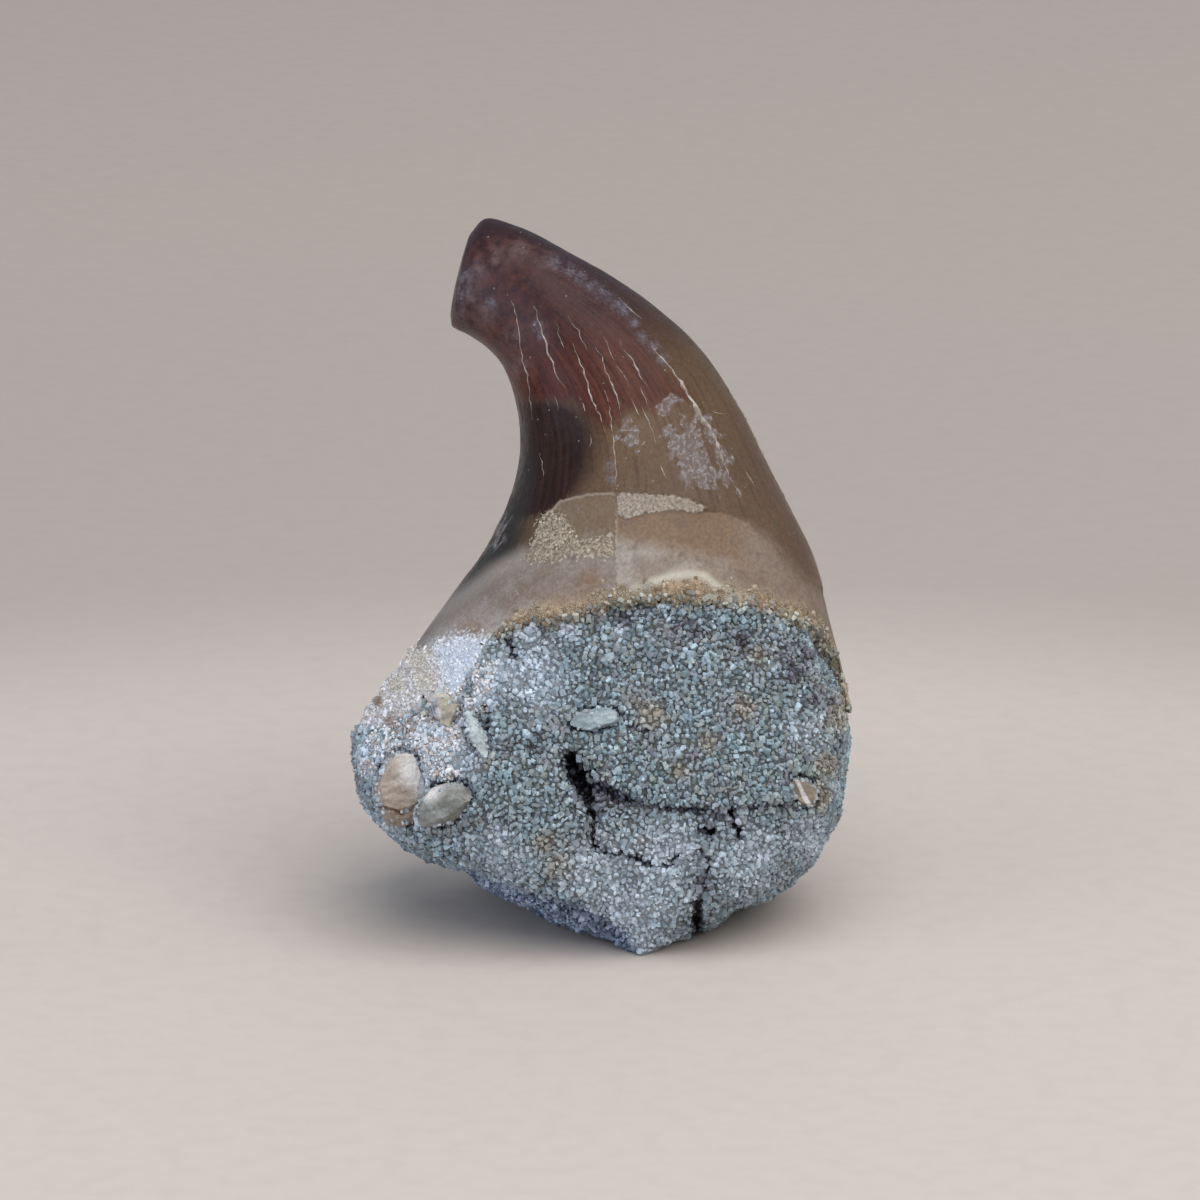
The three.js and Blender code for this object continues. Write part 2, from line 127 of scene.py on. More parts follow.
CRUSTS = [
    [(1.9, 46.0), (4.2, 45.8), (5.3, 44.8), (6.2, 42.7), (7.5, 41.8), (6.9, 40.6), (4.2, 40.5),
     (3.0, 42.2), (2.3, 44.4)],
    [(1.5, 47.9), (2.7, 48.3), (3.4, 48.1), (3.0, 47.1), (1.9, 46.9)],
    [(3.9, 48.1), (5.2, 47.4), (6.9, 44.6), (8.3, 40.6), (7.3, 42.1), (5.4, 45.3)],
    [(-12.0, 38.0), (-11.6, 37.4), (-11.9, 36.4), (-12.7, 35.9), (-12.4, 36.8)],
    [(-1.8, 46.4), (-0.7, 46.1), (0.2, 44.6), (-0.5, 43.9), (-1.3, 44.6)],
]
CHALK = [
    (-17.6, 27.2), (-15.2, 28.1), (-12.9, 27.6), (-12.3, 26.4), (-13.2, 24.2), (-14.4, 22.8),
    (-15.8, 22.8), (-17.0, 24.2),
]
# A raised pale ledge: its cream is partly its own colour and partly a painted highlight along it.
LEDGE_AND_HIGHLIGHT = [
    (-0.5, 32.0), (1.2, 32.6), (2.5, 33.0), (4.0, 33.2), (5.4, 33.1), (6.5, 32.1), (8.0, 31.5),
    (9.7, 30.8),
]
PALE_EDGE = [(14.3, 28.8), (15.6, 27.6), (16.4, 25.8), (16.8, 24.0), (17.0, 22.4)]
# Orange crumbs under the ledge and along the rim, as [x, z] and how far they reach.
ORANGE_RIM = [
    (1.5, 31.6, 1.0), (3.2, 32.1, 1.1), (5.0, 32.3, 1.1), (6.4, 31.5, 1.0), (8.4, 30.9, 0.9),
    (-7.5, 29.9, 1.1), (-9.8, 29.4, 1.0), (-5.5, 30.2, 0.9), (10.5, 30.6, 1.0), (13.0, 29.8, 1.0),
]
# A painted reflection: a pale streak where the dark flank gives way to dentine.
REFLECTION_STREAK = [(-23.5, 26.0), (-19.5, 28.7), (-16.0, 31.0), (-12.8, 33.3), (-10.0, 34.9)]
# Bluish white spots, partly white stains and partly a painted sheen, and mauve smears, as [x, z]
# and how far they reach.
WHITE_STAINS_AND_SHEEN = [
    (-15.4, 59.0, 0.7), (-15.6, 57.5, 0.7), (-8.8, 54.6, 0.5), (-8.5, 53.8, 0.4),
    (-7.2, 60.1, 0.6), (-6.2, 59.5, 0.6), (-5.2, 58.8, 0.6), (-4.3, 58.1, 0.6), (-3.5, 57.5, 0.6),
    (-2.7, 57.0, 0.55), (-2.0, 56.4, 0.5), (-1.4, 55.9, 0.5), (-0.6, 54.8, 0.45),
    (0.2, 53.6, 0.5), (1.1, 52.7, 0.5), (1.9, 51.7, 0.45), (-2.6, 42.4, 0.4), (-2.5, 41.3, 0.35),
    (-12.9, 56.6, 0.45),
]
SMEARS = [
    (-14.6, 57.3, 1.0), (-14.0, 59.5, 0.9), (-12.3, 60.6, 0.9), (-10.4, 61.2, 0.8),
    (-15.6, 55.6, 0.9), (-13.4, 55.6, 1.1), (-10.9, 53.5, 1.1), (-10.5, 51.3, 1.0),
    (-8.4, 60.4, 0.7),
]
BROWN_STAINS = [(-4.1, 32.6, 0.8), (-4.5, 31.3, 1.0), (-6.6, 30.5, 1.2), (-14.6, 28.6, 1.2)]
# On the root's lower left: cream patches, and blotches of purple brown.
CREAM = [(-19.2, 26.3, 1.5), (-18.4, 24.3, 1.2), (-20.9, 23.7, 0.9), (-16.9, 22.4, 0.9)]
BLOTCHES = [
    (-21.4, 20.7, 0.7), (-19.6, 20.4, 0.8), (-20.5, 19.9, 0.6), (-16.6, 21.8, 0.7),
    (-17.4, 29.0, 0.8), (-22.6, 22.4, 0.6), (-15.0, 22.9, 0.5),
]
# Hairline cracks with white mineral in them: width in tenths of a millimetre, then the run.
WHITE_CRACKS = [
    (0.9, [(-11.4, 57.4), (-10.9, 56.6), (-10.6, 55.5), (-10.5, 54.2), (-10.3, 52.6),
           (-10.1, 51.4), (-9.7, 50.3), (-9.5, 49.0), (-9.4, 47.7), (-9.2, 46.2)]),
    (1.1, [(-9.1, 56.3), (-8.7, 55.1), (-8.5, 54.2), (-8.2, 53.2), (-7.7, 51.9), (-7.3, 50.8),
           (-7.0, 49.9), (-6.4, 49.2)]),
    (1.0, [(-5.9, 53.6), (-5.6, 52.6), (-5.2, 51.6), (-4.9, 50.7), (-4.6, 49.5), (-4.3, 48.6),
           (-3.8, 47.4), (-3.3, 46.4), (-3.0, 45.3)]),
    (0.6, [(-6.4, 55.6), (-5.8, 54.7), (-5.3, 54.1), (-5.0, 53.2), (-4.6, 52.5)]),
    (0.9, [(-3.8, 52.7), (-3.4, 52.1), (-3.2, 51.2), (-2.8, 50.2), (-2.3, 49.2), (-1.9, 48.1),
           (-1.6, 46.8)]),
    (0.5, [(-3.4, 54.2), (-2.9, 53.2), (-2.5, 52.1), (-1.9, 51.0), (-1.4, 50.3), (-0.9, 49.2)]),
    (0.8, [(-1.9, 53.4), (-1.3, 52.4), (-0.6, 51.5), (-0.1, 50.4), (0.7, 49.1)]),
    (0.5, [(0.0, 49.2), (0.4, 48.2), (0.9, 47.2)]),
    (0.9, [(-3.1, 49.0), (-2.7, 47.8), (-2.5, 46.4), (-2.3, 45.0), (-2.3, 43.8), (-2.1, 42.5),
           (-2.1, 41.2), (-2.0, 40.3)]),
    (2.5, [(1.1, 52.7), (1.9, 51.7), (2.6, 50.9), (3.4, 49.8), (4.0, 48.8), (4.5, 47.9),
           (5.1, 46.8), (6.0, 45.7), (6.5, 44.4), (7.1, 42.9), (7.8, 41.2), (8.5, 40.1)]),
    (0.8, [(-1.9, 57.1), (-1.2, 56.4), (-0.6, 55.8), (0.4, 55.0)]),
    (0.5, [(-0.8, 48.2), (-0.4, 47.2), (0.0, 46.3)]),
    (0.7, [(0.1, 47.6), (0.6, 46.5), (1.0, 45.4), (1.4, 44.2)]),
    (0.5, [(1.7, 42.7), (2.0, 41.9), (2.3, 41.3)]),
    (0.5, [(-7.4, 48.8), (-7.2, 48.0), (-7.0, 47.1)]),
    (0.5, [(-5.2, 48.4), (-4.9, 47.7), (-4.7, 47.0)]),
    (0.5, [(-4.3, 45.2), (-4.2, 44.6), (-4.3, 44.1)]),
    (0.4, [(-8.5, 43.8), (-8.4, 42.4), (-8.3, 41.0)]),
    (0.4, [(-2.8, 46.0), (-1.6, 45.5), (-0.2, 45.5), (0.6, 45.3)]),
    (0.5, [(5.5, 47.4), (6.6, 47.1), (7.8, 46.9)]),
    (0.5, [(8.9, 42.1), (9.5, 41.2), (9.8, 40.6)]),
    (0.4, [(-7.2, 54.9), (-7.0, 53.9), (-6.6, 52.7), (-6.3, 52.1)]),
]
# How many more cracks run down the sides and the back, which the front's stand for.
BACK_CRACKS = 26

# ---- what lies on the sandstone's front: [x, z] runs, half width and depth -------------------

# Below this edge the front gives way to a face that is cut back by UNDERCUT mm.
LOW_EDGE = [
    (-23.0, 11.0), (-18.0, 8.9), (-15.1, 8.2), (-11.9, 7.1), (-9.7, 6.5), (-7.2, 5.9),
    (-5.6, 5.6), (-3.4, 4.6), (-1.3, 2.9), (0.0, 0.6), (1.0, -3.0),
]
UNDERCUT = 1.0
# A crack deeper than this is a pit, whose floor has rubble on it.
PIT = 2.5

STONE_CRACKS = [
    ([(-6.1, 17.5), (-5.4, 16.6), (-5.0, 15.6), (-4.6, 14.2)], 0.85, 3.0),
    ([(-5.2, 16.4), (-4.6, 16.2)], 0.45, 3.0),
    ([(-4.2, 15.3), (-3.2, 15.0), (-2.2, 14.6), (-1.2, 14.0)], 0.6, 1.0),
    ([(-0.3, 13.8), (1.6, 13.4), (3.8, 13.1), (6.2, 13.3)], 0.25, 0.6),
    ([(7.6, 13.3), (8.0, 12.2), (8.5, 10.9)], 0.34, 1.6),
    ([(7.9, 13.3), (10.3, 13.4), (12.9, 13.6)], 0.22, 0.6),
    ([(5.2, 11.5), (6.1, 11.3)], 0.45, 1.4),
    ([(-4.3, 13.8), (-4.0, 12.0), (-4.2, 11.0), (-3.6, 10.0), (-2.9, 9.7)], 0.3, 1.5),
    ([(-2.3, 9.7), (-1.2, 9.3), (0.7, 8.6)], 0.26, 1.1),
    ([(1.9, 8.6), (2.4, 8.4), (2.9, 9.2)], 0.24, 1.0),
    ([(5.2, 10.0), (5.7, 8.9), (5.6, 7.4), (5.0, 5.6)], 0.2, 0.7),
    ([(4.9, 5.4), (4.9, 4.4), (4.9, 2.6)], 0.4, 1.5),
    ([(-13.4, 22.0), (-13.1, 21.0), (-13.2, 19.8)], 0.3, 0.8),
    ([(-11.4, 27.6), (-11.0, 26.9), (-10.8, 26.2)], 0.25, 0.8),
    ([(-0.9, 20.2), (0.6, 20.0)], 0.25, 0.7),
]
# Stains, as [x, z] and how far they reach.
OCHRE_STAINS = [
    (5.7, 19.0, 1.1), (10.1, 26.4, 1.0), (17.0, 21.0, 1.5), (16.0, 17.0, 1.3), (15.2, 14.2, 1.5),
    (-6.8, 8.4, 1.5), (-8.2, 10.6, 1.2), (-18.0, 21.4, 1.0), (3.3, 16.5, 1.0),
    (-21.0, 19.9, 0.9), (-13.2, 17.5, 0.8), (0.4, 10.5, 0.8), (1.0, 21.5, 1.3), (9.0, 22.0, 1.1),
]
# Dark spots: those under the tooth's rim and along the ledge and cracks are painted shade, the
# rest dark stains.
DARK_STAINS_AND_SHADE = [
    (-2.6, 14.6, 1.8), (4.0, 28.4, 1.5), (8.6, 28.2, 1.7), (13.5, 26.0, 1.8), (-1.5, 29.4, 1.0),
    (6.3, 12.0, 1.4), (14.5, 22.6, 1.6), (-14.5, 21.0, 0.9), (5.4, 7.2, 1.4), (-9.0, 19.0, 1.0),
    (13.0, 24.8, 1.2), (0.0, 13.6, 1.2), (17.4, 18.9, 0.6), (16.6, 22.4, 0.7),
]
PALE_STAINS = [
    (-20.0, 18.6, 1.8), (-17.0, 18.8, 1.8), (-18.4, 17.0, 1.4), (-14.4, 19.6, 1.7),
    (-15.4, 21.4, 1.4), (-13.4, 22.6, 1.2), (-1.8, 28.4, 0.9), (-23.2, 17.8, 1.6),
    (-1.2, 3.0, 2.2), (-12.4, 25.2, 1.2), (-0.9, 1.6, 1.6),
]
# The pale plaster of the root runs on over the sandstone here.
PLASTER_SPREAD = [
    (-22.6, 18.6, 1.3), (-21.0, 18.2, 1.5), (-19.2, 18.6, 1.8), (-17.4, 18.8, 1.8),
    (-15.6, 19.6, 1.4), (-14.6, 21.6, 1.3), (-13.6, 23.6, 1.1), (-12.8, 25.4, 0.9),
    (-17.6, 16.8, 1.3), (-16.3, 16.3, 0.9), (-23.6, 16.6, 1.0), (-22.9, 20.2, 1.3),
    (-21.2, 20.6, 1.4), (-19.2, 21.0, 1.4), (-17.2, 21.2, 1.3), (-14.4, 25.0, 1.1),
]
# Where the sand is paler over a wider reach. The two spots just under the rim's left part are
# painted light, lifting the rim's shade.
PALE_WASH = [
    (-9.0, 24.6, 4.5), (2.5, 9.0, 5.0), (9.0, 9.5, 4.5), (0.0, 4.0, 5.0), (-17.0, 17.5, 4.0),
    (-3.0, 8.0, 4.0), (-12.0, 8.5, 3.5), (14.0, 20.5, 2.6), (-21.5, 13.0, 3.0),
    (-9.6, 28.2, 1.8), (-6.0, 28.4, 1.6), (14.5, 11.0, 3.0),
]

# ---- small helpers ---------------------------------------------------------------------------


def linear(hex_colour):
    """An sRGB hex colour as linear RGBA."""
    parts = [int(hex_colour[i : i + 2], 16) / 255 for i in (1, 3, 5)]
    return [p / 12.92 if p <= 0.04045 else ((p + 0.055) / 1.055) ** 2.4 for p in parts] + [1.0]


def smooth(low, high, value):
    """0 at low, 1 at high and an S between them."""
    part = np.clip((value - low) / (high - low), 0, 1)
    return part * part * (3 - 2 * part)


def lean_back(face):
    """Face millimetres to row metres, before the shift to the row's origin."""
    x, y, z = np.asarray(face, float).T
    cos, sin = math.cos(LEAN), math.sin(LEAN)
    return np.stack([x, y * cos + z * sin, z * cos - y * sin], 1) * MM


def add(tree, kind, inputs=(), stops=(), **settings):
    """Adds a node with its settings. Its inputs, by name or in their order, are values, sockets
    or nodes, of which the first output is taken. A colour ramp has (place, hex colour) stops."""
    node = tree.nodes.new(kind)
    for name, value in settings.items():
        setattr(node, name, value)
    for key, value in inputs.items() if isinstance(inputs, dict) else enumerate(inputs):
        source = value.outputs[0] if isinstance(value, bpy.types.Node) else value
        if isinstance(source, bpy.types.NodeSocket):
            tree.links.new(source, node.inputs[key])
        else:
            node.inputs[key].default_value = source
    if stops:
        elements = node.color_ramp.elements
        for element, (place, colour) in zip(list(elements), (stops[0], stops[-1])):
            element.position, element.color = place, linear(colour)
        for place, colour in stops[1:-1]:
            elements.new(place).color = linear(colour)
    return node


def give_fields(piece, **fields):
    """Stores numbers or vectors for a piece's vertices, or one number for them all."""
    for name, values in fields.items():
        values = np.asarray(values, np.float32)
        if not values.ndim:
            values = np.full(len(piece.data.vertices), values)
        kind, key = ("FLOAT_VECTOR", "vector") if values.ndim == 2 else ("FLOAT", "value")
        field = piece.data.attributes.new(name, kind, "POINT")
        field.data.foreach_set(key, values.ravel())


def vectors(piece, kind):
    """One vector for every vertex of a piece."""
    flat = np.zeros(len(piece.data.vertices) * 3, np.float32)
    piece.data.vertices.foreach_get(kind, flat)
    return flat.reshape(-1, 3).astype(float)


def places(piece):
    """Every vertex of a piece, in row metres."""
    return vectors(piece, "co")


def directions(piece):
    """Every vertex's outward direction, in the row."""
    return vectors(piece, "normal")


def move_to(piece, points):
    piece.data.vertices.foreach_set("co", np.asarray(points, np.float32).ravel())
    piece.data.update()


def new_piece(name, mesh):
    piece = bpy.data.objects.new(name, mesh)
    bpy.context.scene.collection.objects.link(piece)
    return piece


def plain_mesh(piece, name):
    """A plain piece with the modifiers of another applied, which then goes."""
    evaluated = piece.evaluated_get(bpy.context.evaluated_depsgraph_get())
    mesh = bpy.data.meshes.new_from_object(evaluated)
    mesh.name = name
    made = new_piece(name, mesh)
    bpy.data.objects.remove(piece)
    return made


def shake(points, size, seed, octaves=3):
    """Smooth noise of about -1 to 1 at each point in mm, with lumps of about the given size."""
    offset = Vector((seed * 7.31, seed * 3.77, seed * 5.13))
    return np.array(
        [noise.fractal(Vector(p) / size + offset, 0.9, 2.1, octaves) for p in points]
    )


def off_run(points, run):
    """Each point's distance in mm from an [x, z] run of straight pieces."""
    p = points[:, [0, 2]]
    nearest = np.full(len(p), np.inf)
    for a, b in zip(np.array(run[:-1], float), np.array(run[1:], float)):
        step = b - a
        share = np.clip(((p - a) @ step) / (step @ step), 0, 1)
        nearest = np.minimum(nearest, np.linalg.norm(p - a - share[:, None] * step, axis=1))
    return nearest


def inside_by(points, outline):
    """How many mm each point lies inside an [x, z] outline, less than 0 outside it."""
    closed = [*outline, outline[0]]
    px, pz = points[:, 0], points[:, 2]
    inside = np.zeros(len(points), bool)
    for (ax, az), (bx, bz) in zip(closed[:-1], closed[1:]):
        if az != bz:
            spans = (az > pz) != (bz > pz)
            inside ^= spans & (px < ax + (pz - az) * (bx - ax) / (bz - az))
    return np.where(inside, 1, -1) * off_run(points, closed)


def near_spots(points, spots):
    """1 at the middle of the nearest [x, z, reach] spot, falling off softly."""
    level = np.zeros(len(points))
    for x, z, reach in spots:
        apart = np.hypot(points[:, 0] - x, points[:, 2] - z)
        level = np.maximum(level, np.exp(-((apart / reach) ** 2)))
    return level


def make_tree(name, inputs):
    """A Geometry Nodes tree with named inputs, and its sockets for them."""
    tree = bpy.data.node_groups.new(name, "GeometryNodeTree")
    tree.interface.new_socket("Geometry", in_out="INPUT", socket_type="NodeSocketGeometry")
    for label, kind in inputs:
        tree.interface.new_socket(label, in_out="INPUT", socket_type="NodeSocket" + kind)
    tree.interface.new_socket("Geometry", in_out="OUTPUT", socket_type="NodeSocketGeometry")
    return tree, add(tree, "NodeGroupInput").outputs


def end_tree(tree, shape, finish):
    """Ends a tree in a plain, realized shape with its material."""
    real = add(tree, "GeometryNodeRealizeInstances", {"Geometry": shape})
    done = add(tree, "GeometryNodeSetMaterial", {"Geometry": real, "Material": finish})
    add(tree, "NodeGroupOutput", [done])
    return tree


def run_tree(piece, name, tree, **sizes):
    """Runs a tree on a piece, which goes, and returns the plain piece that it makes."""
    modifier = piece.modifiers.new(name, "NODES")
    modifier.node_group = tree
    for item in tree.interface.items_tree:
        if item.in_out == "INPUT" and item.name in sizes:
            modifier[item.identifier] = sizes[item.name]
    return plain_mesh(piece, name)


def fine_copy(node, name, cell, easing):
    """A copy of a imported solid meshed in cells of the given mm, with its corners eased."""
    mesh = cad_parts[node].data.copy()
    mesh.materials.clear()
    joined = bmesh.new()
    joined.from_mesh(mesh)
    bmesh.ops.remove_doubles(joined, verts=joined.verts, dist=1e-6)
    joined.to_mesh(mesh)
    joined.free()
    mesh.transform(Matrix.Scale(1 / MM, 4))
    piece = new_piece(name + "_base", mesh)
    cells = piece.modifiers.new("cells", "REMESH")
    cells.mode = "VOXEL"
    cells.voxel_size = cell
    cells.use_smooth_shade = True
    ease = piece.modifiers.new("ease", "SMOOTH")
    ease.iterations = easing
    made = plain_mesh(piece, name)
    made.data.transform(Matrix.Scale(MM, 4))
    return made


# ---- the tooth -------------------------------------------------------------------------------


def slices_at(share):
    """Smooth values between the rows of TOOTH_SLICES, at shares 0 to 1 down the tooth."""
    table = np.array(TOOTH_SLICES)
    place = np.asarray(share) * (len(table) - 1)
    before = np.clip(np.floor(place).astype(int), 0, len(table) - 2)
    part = (place - before)[..., None]
    a, b, c, d = (table[np.clip(before + i, 0, len(table) - 1)] for i in (-1, 0, 1, 2))
    rise = (c - a) / 2
    next_rise = (d - b) / 2
    bend = 3 * (c - b) - 2 * rise - next_rise
    twist = rise + next_rise - 2 * (c - b)
    return b + part * (rise + part * (bend + part * twist))


def tooth_point(share, angle):
    """A point of the tooth's skin. Past a share of 1 it runs on to the root's ragged end."""
    lx, lz, rx, rz, y, front, back = np.moveaxis(slices_at(np.minimum(share, 1)), -1, 0)
    across = np.sign(np.cos(angle)) * np.abs(np.cos(angle)) ** (2 / TOOTH_SQUARENESS)
    deep = np.sign(np.sin(angle)) * np.abs(np.sin(angle)) ** (2 / TOOTH_SQUARENESS)
    deep = deep * np.where(deep > 0, back, front)
    x = (lx + rx) / 2 + (rx - lx) / 2 * across
    z = (lz + rz) / 2 + (rz - lz) / 2 * across
    point = np.stack([x, y + deep, z], -1)
    wander = np.sin(3 * angle + 0.8) + 0.6 * np.sin(7 * angle + 2)
    drop = np.stack([-0.03 * x, -0.03 * (y + deep), -1.6 - ROOT_RAGGED * wander], -1)
    return point + drop * np.clip((share - 1) / 0.06, 0, 1)[..., None]


def in_break(point):
    """Whether a point of the tooth went with the break of the root's front."""
    x, y, z = np.moveaxis(point, -1, 0)
    chatter = 0.22 * np.sin(2.9 * x + 1.3 * y) + 0.14 * np.sin(7.3 * x - 2 * y + 1)
    under_edge = z < np.interp(x, *zip(*BREAK_EDGE)) + chatter
    return under_edge & (z < np.interp(y, *zip(*BREAK_SIDE)))


# Columns round the tooth, closer together on the front, where most of its detail lies.
FRONT_COLUMNS, BACK_COLUMNS = 220, 120
ANGLES = np.concatenate([
    np.linspace(0, math.pi, BACK_COLUMNS, endpoint=False),
    np.linspace(math.pi, 2 * math.pi, FRONT_COLUMNS, endpoint=False),
])
ROWS = 215
# The worn tip is a low dome of rings beyond the first row.
TIP_RINGS, TIP_RISE = 12, 0.4
# How the broken edge turns in under the rim: how far in and how far up, in mm.
TURNED_IN = ((0.35, -0.25), (1.1, -0.5), (2.6, -0.4))
# Where it ends inside the sandstone, and stand-ins there and on the dome for distances in mm.
HEART = np.array([-1.0, 1.5, 21.0])
DEEP, OFF_BREAK = -20.0, 50.0
ON_TIP, OFF_TIP = -0.5, 60.0
# The rows are eased over this many rounds, and less so the nearer they come to the break.
EASE_ROUNDS, EASE_POWER = 60, 6


def tooth_columns():
    """The skin's points by row and column, and each one's mm from the tip and from the break."""
    shares = np.linspace(0, 1.06, 700)
    lines, runs = [], []
    for angle in ANGLES:
        line = tooth_point(shares, np.full_like(shares, angle))
        lost = np.flatnonzero(in_break(line) & (shares > 0.3))
        last = lost[0] if len(lost) else len(shares) - 1
        steps = np.linalg.norm(np.diff(line[: last + 1], axis=0), axis=1)
        lines.append(line[: last + 1])
        runs.append(np.concatenate([[0], np.cumsum(steps)]))
    # Far from the break the rows follow its height evened out, so that its steps leave no trace.
    ends = np.array([run[-1] for run in runs])
    eased = ends
    for _ in range(EASE_ROUNDS):
        eased = (np.roll(eased, 1) + eased + np.roll(eased, -1)) / 3
    down = np.linspace(0, 1, ROWS)[:, None]
    wanted = down * eased + down**EASE_POWER * (ends - eased)
    skin = [
        np.stack([np.interp(wanted[:, i], run, line[:, axis]) for axis in range(3)], 1)
        for i, (run, line) in enumerate(zip(runs, lines))
    ]
    return np.array(skin).swapaxes(0, 1), wanted, ends - wanted


SKIN, FROM_TIP, FROM_BREAK = tooth_columns()


def make_tooth():
    """The tooth's mesh, and for each vertex its face point, mm from the tip and from the break
    (less than 0 inside it), and angle round the tooth."""
    columns = len(ANGLES)
    first, second = SKIN[0], SKIN[1]
    middle = first.mean(0)
    away = middle - second.mean(0)
    edge = first[0] - middle
    edge /= np.linalg.norm(edge)
    away -= edge * (away @ edge)
    away /= np.linalg.norm(away)
    sizes = np.linspace(0, 1, TIP_RINGS + 2)[1:-1]
    dome = [
        middle + (first - middle) * size + away * TIP_RISE * math.sqrt(1 - size**2)
        for size in sizes
    ]
    rim = SKIN[-1]
    inward = HEART - rim
    inward[:, 2] = 0
    inward /= np.linalg.norm(inward, axis=1)[:, None]
    turned = [rim + inward * run + [0, 0, up] for run, up in TURNED_IN]
    turned.append(rim + (HEART - rim) * 0.6)
    rings = dome + list(SKIN) + turned
    points = np.concatenate([np.concatenate(rings), [middle + away * TIP_RISE, HEART]])
    tip, end = len(points) - 2, len(points) - 1
    column = np.arange(columns)
    following = np.roll(column, -1)
    faces = []
    for ring in range(len(rings) - 1):
        a, b = ring * columns + column, ring * columns + following
        faces += np.stack([a, a + columns, b + columns, b], 1).tolist()
    last = (len(rings) - 1) * columns
    faces += [[tip, c, n] for c, n in zip(column.tolist(), following.tolist())]
    faces += [[end, last + n, last + c] for c, n in zip(column.tolist(), following.tolist())]
    mesh = bpy.data.meshes.new("fossil_tooth")
    mesh.from_pydata(lean_back(points).tolist(), [], faces)
    mesh.polygons.foreach_set("use_smooth", [True] * len(faces))
    piece = new_piece("fossil_tooth", mesh)

    tip_count, rim_count = TIP_RINGS * columns, len(turned) * columns
    from_tip = np.concatenate([
        np.full(tip_count, ON_TIP), FROM_TIP.ravel(), np.full(rim_count, OFF_TIP),
        [ON_TIP, OFF_TIP],
    ])
    inside = [*(-run for run, _ in TURNED_IN), DEEP]
    from_break = np.concatenate([
        np.tile(FROM_BREAK[0], TIP_RINGS), FROM_BREAK.ravel(), np.repeat(inside, columns),
        [OFF_BREAK, DEEP],
    ])
    around = np.concatenate([np.tile(ANGLES, len(rings)), [0, 0]])
    return piece, points, from_tip, from_break, around


tooth, tooth_face, mm_from_tip, mm_from_break, around = make_tooth()
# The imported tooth's far corner gives the shift from the leaned form to the row's origin.
shift = np.array(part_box("tooth")[1]) - places(tooth).max(0)
move_to(tooth, places(tooth) + shift)


def to_row(face):
    return lean_back(face) + shift


def to_face(row):
    """Row metres to face millimetres."""
    x, y, z = ((np.asarray(row, float) - shift) / MM).T
    cos, sin = math.cos(LEAN), math.sin(LEAN)
    return np.stack([x, y * cos - z * sin, y * sin + z * cos], 1)


def search_tree(piece):
    """A search tree of a piece's faces, in face millimetres."""
    polygons = [list(polygon.vertices) for polygon in piece.data.polygons]
    return BVHTree.FromPolygons(to_face(places(piece)).tolist(), polygons)


